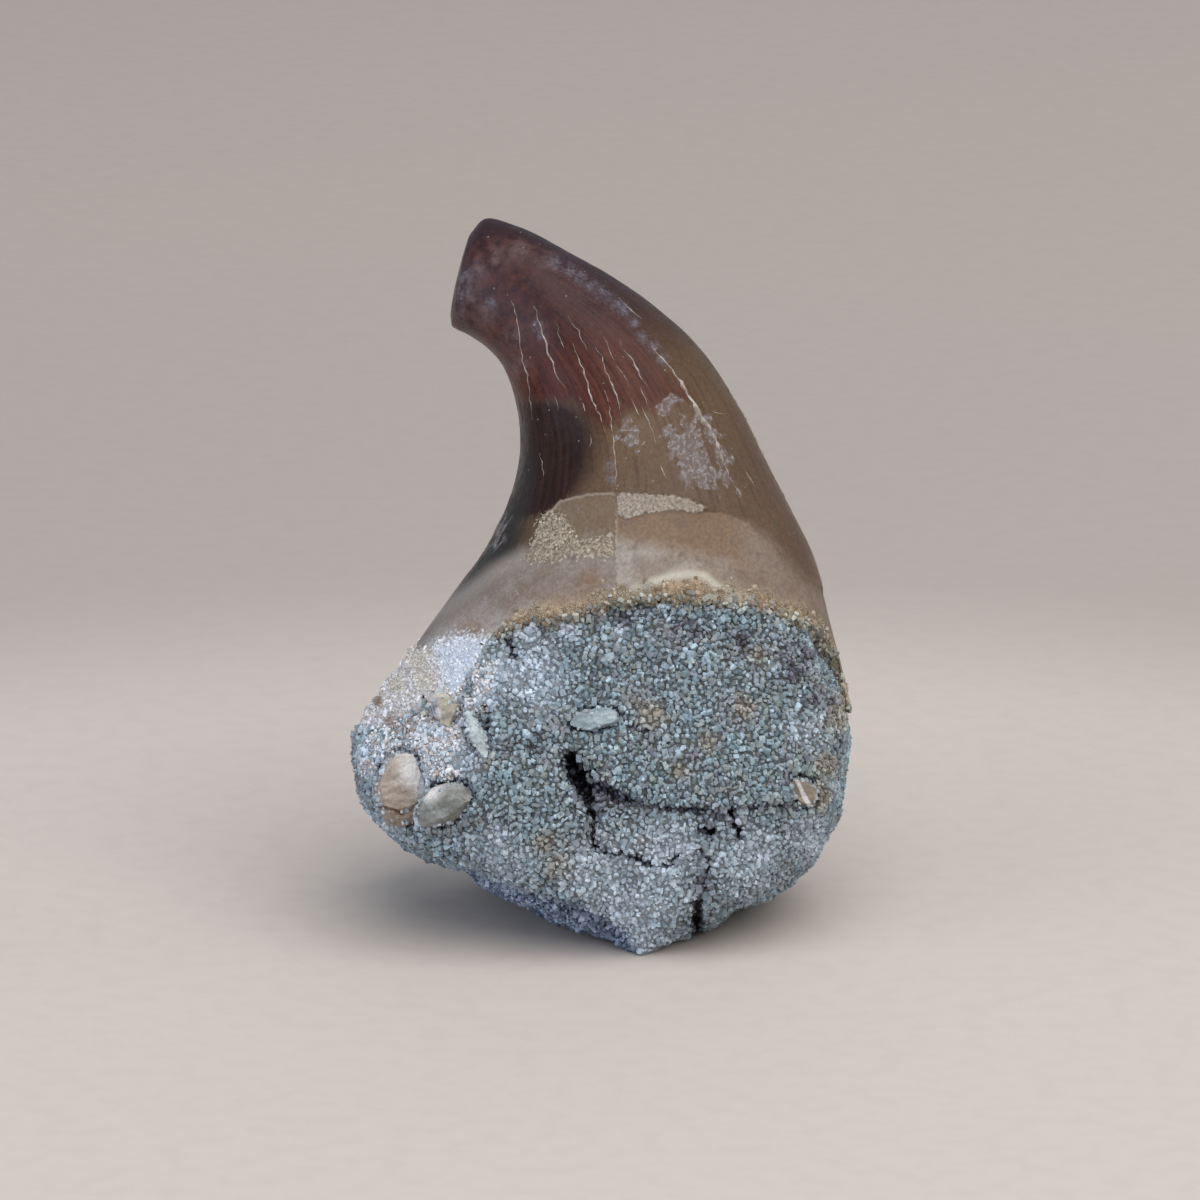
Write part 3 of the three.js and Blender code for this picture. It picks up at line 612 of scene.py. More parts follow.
def dress_tooth():
    """Relief on the tooth's skin, and the fields that its materials and grains read."""
    x, y = tooth_face[:, 0], tooth_face[:, 1]
    # The colour zones lean over as they pass round to the back.
    wrapped = tooth_face + np.maximum(tooth_face[:, 1:2], 0) * [0.12, 0, -0.1]
    above = np.sign(wrapped[:, 2] - np.interp(wrapped[:, 0], *zip(*ENAMEL_LINE)))
    enamel = above * off_run(wrapped, ENAMEL_LINE)

    strip, patch = inside_by(tooth_face, FILLER_STRIP), inside_by(tooth_face, FILLER_PATCH)
    crust = np.max([inside_by(tooth_face, outline) for outline in CRUSTS], 0)
    broad = shake(tooth_face, 7.0, 1, 2)
    coarse = shake(tooth_face, 1.6, 2)
    fine = shake(tooth_face, 0.5, 3)
    # The root is rough low down all round, and higher up on its left, where it is plastered. The
    # plaster reaches less high as it passes round to the back.
    torn = tooth_face[:, [0, 2]] + 1.5 * broad[:, None] + 0.9 * coarse[:, None]
    sunken = torn[:, 1] + 0.5 * np.maximum(y - 1.0, 0)
    plastered = smooth(-11.6, -13.0, torn[:, 0]) * smooth(28.0, 26.4, sunken)
    rough = np.maximum(plastered, smooth(23.5, 20.5, torn[:, 1]))
    front = smooth(6.5, 2.0, y + coarse)

    def front_only(values, elsewhere=0.0):
        return elsewhere + (values - elsewhere) * front

    filler, crust = front_only(np.maximum(strip, patch), -FAR), front_only(crust, -FAR)
    ledge = front_only(off_run(tooth_face, LEDGE_AND_HIGHLIGHT), FAR)

    # The relief in mm: the enamel stands over the dentine, filler and crust lie on top of it.
    rise = 0.10 * broad + 0.02 * coarse - 0.12
    enamel_step = 0.04 + 0.1 * smooth(-11.0, -8.0, x)
    rise += enamel_step * smooth(-0.25, 0.15, enamel + 0.25 * coarse)
    lumps = np.where(patch > -0.3, 1.6, 0.25)
    rise += 0.09 * smooth(-0.15, 0.08, filler + 0.25 * coarse) * (1 + lumps * fine)
    rise += smooth(-0.2, 0.2, crust + 0.9 * coarse) * (0.02 + 0.06 * fine)
    rise += np.maximum(rough, smooth(2.0, 0.6, mm_from_break)) * (0.26 * coarse + 0.2 * fine)
    rise += 0.16 * smooth(0.9, 0.0, ledge)
    # Inside the broken edge there is little relief and nothing lies on it.
    outside = mm_from_break > 0.01
    rise *= np.where(outside, 1.0, 0.35)
    move_to(tooth, places(tooth) + rise[:, None] * directions(tooth) * MM)

    # Across and along the crown, in mm, for streaks that follow it with no seam.
    radius = 12.0
    grain = np.stack([radius * np.cos(around), radius * np.sin(around), mm_from_tip], 1)
    give_fields(
        tooth, face=tooth_face, grain=grain, enamel=enamel, filler=filler, crust=crust,
        ledge=ledge, rough=rough, rim=mm_from_break,
        red=inside_by(wrapped, RED_CROWN),
        dark=inside_by(wrapped, DARK_PATCH),
        flank=inside_by(wrapped, DARK_FLANK_AND_SHADE),
        chalk=front_only(inside_by(tooth_face, CHALK), -FAR),
        pale_edge=front_only(off_run(tooth_face, PALE_EDGE), FAR),
        pale_streak=off_run(tooth_face, REFLECTION_STREAK) + 2.2 * smooth(0.5, 6.0, y),
        orange=front_only(near_spots(tooth_face, ORANGE_RIM)),
        haze=front_only(near_spots(tooth_face, WHITE_STAINS_AND_SHEEN)),
        smear=front_only(near_spots(tooth_face, SMEARS)),
        stain=front_only(near_spots(tooth_face, BROWN_STAINS)),
        cream=front_only(near_spots(tooth_face, CREAM)),
        blotch=front_only(near_spots(tooth_face, BLOTCHES)),
    )
    # Where grains lie, and the tones of the sand along the broken edge.
    sandy = smooth(0.0, 0.8, patch + 0.6 * coarse) + 0.08 * smooth(0.1, 0.4, strip)
    give_fields(
        tooth,
        plaster=plastered * outside,
        crumbs=smooth(1.9, 0.2, mm_from_break - 0.9 * coarse - 0.5) * outside,
        edge=(mm_from_break < 0.5) & (mm_from_break > -2.7),
        sand=front_only(sandy),
        ochre=0.8 * (1 - plastered),
        pale=plastered,
    )


dress_tooth()
tooth_tree = search_tree(tooth)

# ---- materials -------------------------------------------------------------------------------

# The kinds of node that the materials use most. A range goes over along an S.
MATH, RANGE = "ShaderNodeMath", "ShaderNodeMapRange"
NOISE, RAMP = "ShaderNodeTexNoise", "ShaderNodeValToRGB"
EASED = {"interpolation_type": "SMOOTHSTEP"}


def layered(tree, colour, layers):
    """Colours laid over one another, each where its mask is 1."""
    for mask, over in layers:
        over = linear(over) if isinstance(over, str) else over
        colour = add(tree, "ShaderNodeMix", {0: mask, 6: colour, 7: over},
                     data_type="RGBA").outputs[2]
    return colour


def overlap(tree, mask, *others):
    """Masks multiplied with one another."""
    for other in others:
        mask = add(tree, MATH, [mask, other], operation="MULTIPLY")
    return mask


def grained(tree, colour, grit, darkest, lightest):
    """A colour made darker and lighter by a fine pattern."""
    tint = add(tree, RANGE, [grit, 0.3, 0.7, darkest, lightest], **EASED)
    return add(tree, "ShaderNodeVectorMath", {0: colour, 3: tint}, operation="SCALE")


def read_fields(tree, names):
    """The numbers that the vertices of a piece hold, one for each name."""
    return [add(tree, "ShaderNodeAttribute", attribute_name=name).outputs["Fac"] for name in names]


def new_material(name):
    material = bpy.data.materials.new(name)
    material.use_nodes = True
    material.node_tree.nodes.clear()
    return material, material.node_tree


def surfaced(material, sockets):
    """Ends a material in a surface, whose sockets get these values and links."""
    surface = add(material.node_tree, "ShaderNodeBsdfPrincipled", sockets)
    add(material.node_tree, "ShaderNodeOutputMaterial", [surface])
    return material


def fossil_enamel():
    """Fossil tooth enamel over dentine and a broken root. The enamel is polished and glassy,
    streaked along the crown; the dentine is waxy; the root and its broken rim are chalky."""
    material, tree = new_material("Fossil enamel and dentine")
    names = ("enamel", "red", "dark", "flank", "filler", "crust", "chalk", "ledge", "pale_edge",
             "pale_streak", "orange", "haze", "smear", "stain", "cream", "blotch", "rim", "rough")
    mm = dict(zip(names, read_fields(tree, names)))
    face = add(tree, "ShaderNodeAttribute", attribute_name="face").outputs["Vector"]
    grain = add(tree, "ShaderNodeAttribute", attribute_name="grain").outputs["Vector"]
    x, y, z = add(tree, "ShaderNodeSeparateXYZ", [face]).outputs
    facing = add(tree, RANGE, [y, 4.0, -1.0], **EASED)

    # Noise of about 0 to 1. Its scale is in lumps to the millimetre.
    cloud = add(tree, NOISE, {0: face, "Scale": 0.3, "Detail": 3})
    mottle = add(tree, NOISE, {0: face, "Scale": 1.1, "Detail": 5})
    fleck = add(tree, NOISE, {0: face, "Scale": 3.5, "Detail": 4})
    grit = add(tree, NOISE, {0: face, "Scale": 8.0, "Detail": 3})
    # Streaks about 0.3 mm wide that run some 8 mm along the crown, and fade out at its tip.
    drawn = add(tree, "ShaderNodeMapping", {0: grain, 3: (1, 1, 0.05)})
    from_tip = add(tree, "ShaderNodeSeparateXYZ", [grain]).outputs[2]
    settled = add(tree, RANGE, [from_tip, 5.0, 18.0], **EASED)
    strand = add(tree, NOISE, {0: drawn, "Scale": 2.6, "Detail": 4})
    streak = add(tree, "ShaderNodeMix", {0: settled, 2: mottle, 3: strand})
    fibre = add(tree, NOISE, {0: drawn, "Scale": 8.0, "Detail": 2})

    def swayed(amount, wander, reach):
        """An amount with a pattern added, so that a zone that ends at it has a wandering edge."""
        return add(tree, MATH, [wander, reach, amount], operation="MULTIPLY_ADD")

    def soft_edge(amount, middle, soft):
        """A mask that turns from 0 to 1 over a soft width either side of a middle amount."""
        low = add(tree, MATH, [middle, soft], operation="SUBTRACT")
        high = add(tree, MATH, [middle, soft], operation="ADD")
        return add(tree, RANGE, [amount, low, high], **EASED)

    def near_line(amount, middle, outer, inner, level):
        """A mask that rises to a level where an amount comes near its middle value."""
        gap = add(tree, MATH, [amount, middle], operation="SUBTRACT")
        gap = add(tree, MATH, [gap], operation="ABSOLUTE")
        return add(tree, RANGE, [gap, outer, inner, 0.0, level], **EASED)

    def without(mask):
        return add(tree, MATH, [1.0, mask], operation="SUBTRACT")

    # Down the crown the enamel turns from purple brown to olive brown.
    down = add(tree, MATH, [swayed(0.0, x, 0.35), z], operation="SUBTRACT")
    down = swayed(swayed(down, cloud, 6.0), streak, 4.0)
    crown = add(tree, RAMP, [add(tree, RANGE, [down, -60.0, -34.0], **EASED)], stops=[
        (0.0, "#332327"), (0.2, "#3f2b29"), (0.42, "#4f3b30"), (0.62, "#5d4a38"),
        (0.8, "#624d39"), (1.0, "#5e4b3b"),
    ])
    purple, rust, dark = (
        add(tree, RAMP, [streak], stops=list(zip((0.3, 0.5, 0.7), tones)))
        for tones in (("#332024", "#412828", "#52322d"), ("#34160f", "#4a241a", "#653727"),
                      ("#1f1210", "#2a1815", "#3a241d"))
    )
    red = layered(tree, purple, [(add(tree, RANGE, [z, 57.0, 50.0], **EASED), rust)])

    # The enamel ends at a sharp step on the front, and fades out towards the flank.
    blur_left = add(tree, RANGE, [x, -12.0, -8.0, 1.3, 0.1], **EASED)
    blur_right = add(tree, RANGE, [x, 7.0, 12.0, 0.1, 0.8], **EASED)
    blur = add(tree, MATH, [blur_left, blur_right], operation="MAXIMUM")
    end = swayed(mm["enamel"], mottle, 0.5)
    bare = without(soft_edge(end, 0.25, blur))
    # A line along the enamel's end, pale on the left and dark brown on the right, where it is
    # painted shade under the step.
    end_line_shade = overlap(
        tree, near_line(end, 0.25, 0.15, 0.04, 1.0),
        add(tree, RANGE, [x, -11.0, -8.0, 0.0, 0.6], **EASED),
        add(tree, RANGE, [x, 9.0, 5.0, 0.25, 1.0], **EASED),
    )
    end_tone = add(tree, RAMP, [add(tree, RANGE, [x, -2.6, -1.2], **EASED)],
                   stops=[(0.0, "#9a8d80"), (1.0, "#4a3a2f")])
    in_red = soft_edge(swayed(mm["red"], streak, 2.4), 1.2, 0.8)
    soft = add(tree, RANGE, [x, -7.0, -4.0, 0.5, 1.7], **EASED)
    in_dark = soft_edge(swayed(mm["dark"], streak, 1.6), 0.8, soft)
    flank_dark_and_shade = soft_edge(swayed(mm["flank"], cloud, 2.0), 1.0, 1.3)
    # The strip is trimmed clean, but the patch crumbles away at its edge.
    in_patch = add(tree, RANGE, [x, -2.2, -2.4], **EASED)
    frayed = overlap(tree, add(tree, MATH, [fleck, 0.5], operation="SUBTRACT"),
                     add(tree, RANGE, [in_patch, 0.0, 1.0, 0.5, 2.6], **EASED))
    frayed = add(tree, MATH, [frayed, mm["filler"]], operation="ADD")
    in_filler = add(tree, RANGE, [frayed, -0.06, 0.06], **EASED)
    outline = add(tree, RANGE, [in_patch, 0.0, 1.0, 0.6, 0.2], **EASED)
    outlined = near_line(frayed, 0.0, 0.12, 0.04, outline)
    cloudy = add(tree, RANGE, [mottle, 0.35, 0.65, 0.35, 1.0], **EASED)
    hazed = overlap(tree, mm["haze"], add(tree, RANGE, [fleck, 0.38, 0.65, 0.35, 0.8], **EASED),
                    cloudy)
    smeared = overlap(tree, mm["smear"], cloudy, 0.45)
    streaked = overlap(tree, add(tree, RANGE, [streak, 0.5, 0.72, 0.0, 0.35], **EASED), settled)
    rusty = overlap(tree, add(tree, RANGE, [mottle, 0.48, 0.66, 0.0, 0.4], **EASED),
                    add(tree, RANGE, [x, 6.0, 11.0, 0.0, 0.5], **EASED))

    # Peeling mineral crust: crooked mauve scraps with white flecks left on them.
    slanted = add(tree, "ShaderNodeMapping", {0: face, 2: (0, -0.45, 0)})
    drawn_out = add(tree, "ShaderNodeMapping", {0: slanted, 3: (1, 1, 0.5)})
    scrap = add(tree, NOISE, {0: drawn_out, "Scale": 1.3, "Detail": 5})
    shred = add(tree, NOISE, {0: drawn_out, "Scale": 3.6, "Detail": 6})
    in_crust = add(tree, RANGE, [swayed(mm["crust"], scrap, 5.0), 2.3, 2.8], **EASED)
    flecked = overlap(tree, in_crust, add(tree, RANGE, [shred, 0.47, 0.6, 0.0, 0.6], **EASED))
    crust = add(tree, RAMP, [grit], stops=[(0.3, "#7d787a"), (0.5, "#989597"), (0.7, "#c4c5c5")])
    # Small white specks here and there, in some of a pattern's cells.
    dots = add(tree, "ShaderNodeTexVoronoi", {0: face, "Scale": 1.1}, feature="F1").outputs
    chosen = add(tree, "ShaderNodeSeparateColor", [dots["Color"]]).outputs[1]
    specks = overlap(tree, add(tree, RANGE, [dots["Distance"], 0.12, 0.06], **EASED),
                     add(tree, RANGE, [chosen, 0.62, 0.7, 0.0, 0.4], **EASED))

    # The dentine: a brown dome right of a straight seam, mauve left of it, and paler low down.
    seam = swayed(x, fleck, 0.5)
    right = add(tree, MATH, [add(tree, RANGE, [seam, -1.95, -1.65], **EASED), without(facing)],
                operation="MAXIMUM")
    seam_line = overlap(
        tree, near_line(seam, -1.8, 0.14, 0.04, 0.45),
        add(tree, RANGE, [z, 33.0, 35.0], **EASED), overlap(tree, bare, facing),
    )
    low = add(tree, RANGE, [swayed(mm["enamel"], mottle, 1.0), -2.4, -4.4], **EASED)
    mauve = add(tree, RANGE, [swayed(x, mottle, 3.0), 8.5, 11.5], **EASED)
    dome = layered(tree, linear("#7d6754"), [
        (low, "#9a9289"), (overlap(tree, mauve, 0.6), "#877c74"),
    ])
    left = layered(tree, linear("#857b74"), [
        (add(tree, RANGE, [swayed(z, mottle, 2.0), 36.0, 38.4], **EASED), "#726352"),
        (add(tree, RANGE, [z, 32.0, 27.5], **EASED), "#a19e9c"),
    ])
    dentine = layered(tree, left, [(right, dome)])
    stained = add(tree, RANGE, [cloud, 0.42, 0.62, 0.0, 0.45], **EASED)
    blotched = add(tree, RANGE, [mottle, 0.52, 0.68, 0.0, 0.5], **EASED)
    swirl = add(tree, NOISE, {0: face, "Scale": 0.75, "Detail": 1})
    squiggle = overlap(
        tree, near_line(swirl, 0.5, 0.08, 0.0, 0.22),
        add(tree, RANGE, [mottle, 0.4, 0.6], **EASED),
        add(tree, RANGE, [x, -0.5, -3.0, 0.15, 1.0], **EASED),
        add(tree, RANGE, [z, 35.0, 34.0, 0.2, 1.0], **EASED), facing,
    )
    pale_streak = add(tree, RANGE, [swayed(mm["pale_streak"], fleck, 0.8), 1.7, 0.3, 0.0, 0.55],
                      **EASED)

    ledge_highlight = add(tree, RANGE, [swayed(mm["ledge"], fleck, 0.8), 1.05, 0.4, 0.0, 0.8], **EASED)
    on_edge = add(tree, RANGE, [swayed(mm["pale_edge"], fleck, 0.6), 1.0, 0.5], **EASED)
    # The root's lower left is plaster pale right up to its edge.
    plastered = overlap(tree, add(tree, RANGE, [x, -5.0, -8.0], **EASED),
                        add(tree, RANGE, [z, 28.2, 26.8, 0.0, 0.9], **EASED))
    at_rim = overlap(tree, add(tree, RANGE, [swayed(mm["rim"], mottle, -2.6), 0.6, -0.1], **EASED),
                     without(plastered))
    tan = add(tree, RAMP, [grit], stops=[
        (0.3, "#6b5f4f"), (0.45, "#958873"), (0.6, "#b0a28d"), (0.75, "#cabfad"),
    ])
    orange = add(tree, RAMP, [grit], stops=[(0.3, "#7c6854"), (0.5, "#a6917a"), (0.7, "#c8b59e")])
    root = add(tree, RAMP, [fleck], stops=[
        (0.3, "#b3a8a1"), (0.42, "#c9c3be"), (0.55, "#d9d9dc"), (0.7, "#e8ebf1"),
    ])
    on_root = add(tree, RANGE, [mm["rough"], 0.25, 0.7], **EASED)
    in_chalk = soft_edge(swayed(mm["chalk"], fleck, 3.0), 1.5, 0.7)
    pink = add(tree, RAMP, [fleck], stops=[(0.3, "#988b7f"), (0.5, "#a99c8f"), (0.68, "#b8ada1")])
    sandy = add(tree, RAMP, [fleck], stops=[(0.3, "#7f7263"), (0.5, "#a39684"), (0.7, "#c6bcab")])

    colour = layered(tree, crown, [
        (in_red, red),
        (in_dark, dark),
        # Painted shade over the enamel's own dark, on the left flank.
        (flank_dark_and_shade, "#2b2825"),
        (rusty, "#7f5c3f"),
        (streaked, "#2a1a16"),
        (smeared, "#7d6c6e"),
        # White stains with a painted sheen, bluish grey.
        (hazed, "#7b7a86"),
        (overlap(tree, in_crust, 0.55), "#776a69"),
        (flecked, crust),
        (bare, dentine),
        (overlap(tree, stained, bare), "#6f5a49"),
        (overlap(tree, blotched, bare), "#6f5f59"),
        (overlap(tree, squiggle, bare), "#aaa199"),
        (overlap(tree, mm["stain"], 0.6), "#7f634a"),
        # Painted shade under the enamel's step, pale to its left.
        (end_line_shade, end_tone),
        (seam_line, "#a3978a"),
        # A painted reflection, low on the left of the crown.
        (pale_streak, "#aaa39c"),
        (specks, "#b0a79d"),
        (on_root, root),
        (at_rim, tan),
        (mm["orange"], orange),
        (overlap(tree, mm["cream"], on_root, 0.6), "#cdc5b2"),
        (overlap(tree, mm["blotch"], on_root), "#8d7466"),
        # The ledge's cream, partly a painted highlight.
        (ledge_highlight, "#c4c0b3"),
        (on_edge, "#9a9880"),
        (in_chalk, "#d9e2ee"),
        (in_filler, layered(tree, pink, [(in_patch, sandy)])),
        (outlined, "#5a483b"),
    ])

    worn = on_root
    for mask in (in_filler, flecked, at_rim):
        worn = add(tree, MATH, [worn, mask], operation="MAXIMUM")
    gloss = add(tree, RANGE, [bare, 0.0, 1.0, 0.26, 0.5], **EASED)
    scuffed = swayed(gloss, add(tree, RANGE, [mottle, 0.35, 0.7], **EASED), 0.18)
    lines = add(tree, "ShaderNodeBump", {"Height": streak, "Strength": 0.35, "Distance": 0.1 * MM})
    threads = add(tree, "ShaderNodeBump", {"Height": fibre, "Strength": 0.3, "Distance": 0.05 * MM,
                                           "Normal": lines})
    rubbed = add(tree, "ShaderNodeBump", {"Height": grit, "Strength": worn, "Distance": 0.3 * MM,
                                          "Normal": threads})
    # A worn, faintly porous polish throws back less than fresh enamel.
    return surfaced(material, {
        "Base Color": grained(tree, colour, fleck, 0.86, 1.14),
        "Roughness": add(tree, "ShaderNodeMix", {0: worn, 2: scuffed, 3: 0.9}),
        "IOR": 1.5, "Specular IOR Level": 0.2, "Normal": rubbed,
    })


def sandstone_bed():
    """The fine, dull and earthy cement between the sandstone's grains, with painted shade in its
    cracks, under the rim and on the undercut.
    """
    material, tree = new_material("Sandstone cement")
    face = add(tree, "ShaderNodeAttribute", attribute_name="face").outputs["Vector"]
    ochre, dark, pale, shade, plaster = read_fields(
        tree, ("ochre", "dark", "pale", "shade", "plaster"))
    grit = add(tree, NOISE, {0: face, "Scale": 6.0, "Detail": 3})
    cement = add(tree, RAMP, [grit], stops=[(0.3, "#3a3f42"), (0.5, "#565c5f"), (0.7, "#737a7c")])
    colour = layered(tree, cement, [
        (add(tree, RANGE, [pale, 0.2, 1.0, 0.0, 0.85], **EASED), "#a4aab4"),
        (plaster, "#c0c2c6"),
        (overlap(tree, ochre, 0.5), "#6a5b43"),
        # Painted shade, bluish, on the undercut face.
        (shade, "#3a4357"),
        # Painted shade in the cracks and under the rim, over dark stains.
        (overlap(tree, dark, 0.9), "#241c1e"),
    ])
    dust = add(tree, "ShaderNodeBump", {"Height": grit, "Strength": 0.8, "Distance": 0.2 * MM})
    return surfaced(material, {"Base Color": colour, "Roughness": 0.95, "IOR": 1.5,
                               "Normal": dust})


def sand_grains():
    """Phosphate and quartz sand, broken and worn: each grain has its own tone, most a bluish
    grey, some paler, tan or dark, and all dusty. Shade is painted on them: dark in the cracks and
    under the rim, bluish on the undercut."""
    material, tree = new_material("Worn phosphate sand")
    tone, ochre, dark, pale, shade = read_fields(tree, ("tone", "ochre", "dark", "pale", "shade"))
    place = add(tree, "ShaderNodeTexCoord").outputs["Object"]
    grit = add(tree, NOISE, {0: place, "Scale": 5 / MM, "Detail": 2})
    # Patches of a few millimetres lean to teal or to mauve.
    drift = add(tree, NOISE, {0: place, "Scale": 0.26 / MM, "Detail": 3})
    grey = add(tree, RAMP, [tone], stops=[
        (0.0, "#55636c"), (0.08, "#677780"), (0.2, "#7a8384"), (0.34, "#7c929c"),
        (0.5, "#89a0ab"), (0.6, "#919a99"), (0.72, "#98aeba"), (0.85, "#a6b8c1"),
        (0.95, "#b3c9d6"), (1.0, "#c4d9e6"),
    ])
    brown = add(tree, RAMP, [tone], stops=[
        (0.0, "#6b6152"), (0.4, "#978c78"), (0.75, "#b1a791"), (1.0, "#c9c3b2"),
    ])
    white = add(tree, RAMP, [tone], stops=[(0.0, "#8e9ba6"), (0.5, "#b3c1ce"), (1.0, "#dbe7f4")])
    stain_and_shade = add(tree, RAMP, [tone], stops=[(0.0, "#28222c"), (0.6, "#514c5e"), (1.0, "#868696")])
    undercut_shade = add(tree, RAMP, [tone], stops=[(0.0, "#475369"), (0.6, "#798aa6"), (1.0, "#b6c6dc")])
    # A second draw from each grain's tone leans some to olive and some to mauve.
    hue = add(tree, MATH, [overlap(tree, tone, 17.0)], operation="FRACT")
    colour = layered(tree, grey, [
        (add(tree, RANGE, [hue, 0.74, 0.82, 0.0, 0.4], **EASED), "#9b998a"),
        (add(tree, RANGE, [hue, 0.2, 0.1, 0.0, 0.45], **EASED), "#8a8698"),
        (add(tree, RANGE, [drift, 0.5, 0.68, 0.0, 0.45], **EASED), "#7a95a0"),
        (add(tree, RANGE, [drift, 0.5, 0.34, 0.0, 0.4], **EASED), "#88848c"),
        (add(tree, RANGE, [ochre, 0.2, 0.9, 0.0, 0.65], **EASED), brown),
        (add(tree, RANGE, [pale, 0.2, 0.9, 0.0, 0.85], **EASED), white),
        # Painted shade, bluish, on the undercut face.
        (overlap(tree, shade, 0.85), undercut_shade),
        # Painted shade in the cracks and under the rim, and dark stains.
        (add(tree, RANGE, [dark, 0.2, 0.9, 0.0, 0.85], **EASED), stain_and_shade),
    ])
    return surfaced(material, {
        "Base Color": grained(tree, colour, grit, 0.85, 1.12), "Roughness": 0.8, "IOR": 1.55,
    })


def root_crumbs():
    """Crumbled root bone: chalky white, tan and ochre bits with no shine."""
    material, tree = new_material("Crumbled root bone")
    tone, chalk, on_root, orange, cream, blotch, filler = read_fields(
        tree, ("tone", "chalk", "plaster", "orange", "cream", "blotch", "filler"))
    place = add(tree, "ShaderNodeTexCoord").outputs["Object"]
    grit = add(tree, NOISE, {0: place, "Scale": 4 / MM, "Detail": 2})
    tan = add(tree, RAMP, [tone], stops=[
        (0.0, "#6e614e"), (0.3, "#928470"), (0.7, "#ae9f8a"), (1.0, "#cac0ad"),
    ])
    rust = add(tree, RAMP, [tone], stops=[(0.0, "#75624e"), (0.5, "#a08b73"), (1.0, "#c4b199")])
    root = add(tree, RAMP, [tone], stops=[
        (0.0, "#b9aea8"), (0.25, "#cfcac6"), (0.5, "#dcdde1"), (0.8, "#e9edf4"), (1.0, "#f3f6fb"),
    ])
    white = add(tree, RAMP, [tone], stops=[(0.0, "#c6d0dd"), (1.0, "#eef4fb")])
    sandy = add(tree, RAMP, [tone], stops=[(0.0, "#837869"), (0.5, "#ac9f8f"), (1.0, "#d0c8ba")])
    colour = layered(tree, root, [
        (add(tree, RANGE, [cream, 0.3, 0.9, 0.0, 0.6], **EASED), "#cdc5b2"),
        (add(tree, RANGE, [blotch, 0.3, 0.8, 0.0, 0.85], **EASED), "#8d7466"),
        (add(tree, RANGE, [on_root, 0.03, 0.01], **EASED), tan),
        (add(tree, RANGE, [orange, 0.3, 0.7], **EASED), rust),
        (add(tree, RANGE, [chalk, -0.6, 0.3], **EASED), white),
        (add(tree, RANGE, [filler, -0.3, 0.0], **EASED), sandy),
    ])
    return surfaced(material, {
        "Base Color": grained(tree, colour, grit, 0.85, 1.1), "Roughness": 0.9, "IOR": 1.5,
    })


def crack_mineral():
    """Calcite that has crept into hairline cracks: chalk white, dull."""
    material, tree = new_material("Calcite crack fill")
    place = add(tree, "ShaderNodeTexCoord").outputs["Object"]
    tone = add(tree, NOISE, {0: place, "Scale": 1.5 / MM, "Detail": 3})
    colour = add(tree, RAMP, [tone], stops=[(0.3, "#75695f"), (0.5, "#988d84"), (0.7, "#c0b9b2")])
    return surfaced(material, {"Base Color": colour, "Roughness": 0.8, "IOR": 1.5})


def bone_chip(name, dark, middle, light, roughness, turn):
    """Fossil bone or shell, broken and rubbed: streaked along its length and a little waxy."""
    material, tree = new_material(name)
    place = add(tree, "ShaderNodeTexCoord").outputs["Object"]
    # The streaks are three times as long as they are wide.
    drawn = add(tree, "ShaderNodeMapping", {0: place, 2: (0, turn, 0), 3: (1 / 3, 1, 1)})
    streak = add(tree, NOISE, {0: drawn, "Scale": 0.9 / MM, "Detail": 5})
    grit = add(tree, NOISE, {0: place, "Scale": 4.5 / MM, "Detail": 3})
    crack, faded = read_fields(tree, ("crack", "faded"))
    bone = add(tree, RAMP, [streak], stops=[(0.3, dark), (0.5, middle), (0.68, light)])
    colour = layered(tree, bone, [
        (add(tree, RANGE, [faded, 0.2, 0.8], **EASED), "#d3d0ce"), (crack, "#654a39"),
    ])
    dust = add(tree, "ShaderNodeBump", {"Height": grit, "Strength": 0.4, "Distance": 0.1 * MM})
    return surfaced(material, {
        "Base Color": grained(tree, colour, grit, 0.82, 1.12), "Roughness": roughness,
        "IOR": 1.55, "Normal": dust,
    })


tooth.data.materials.append(fossil_enamel())

# ---- the chips in the sandstone --------------------------------------------------------------

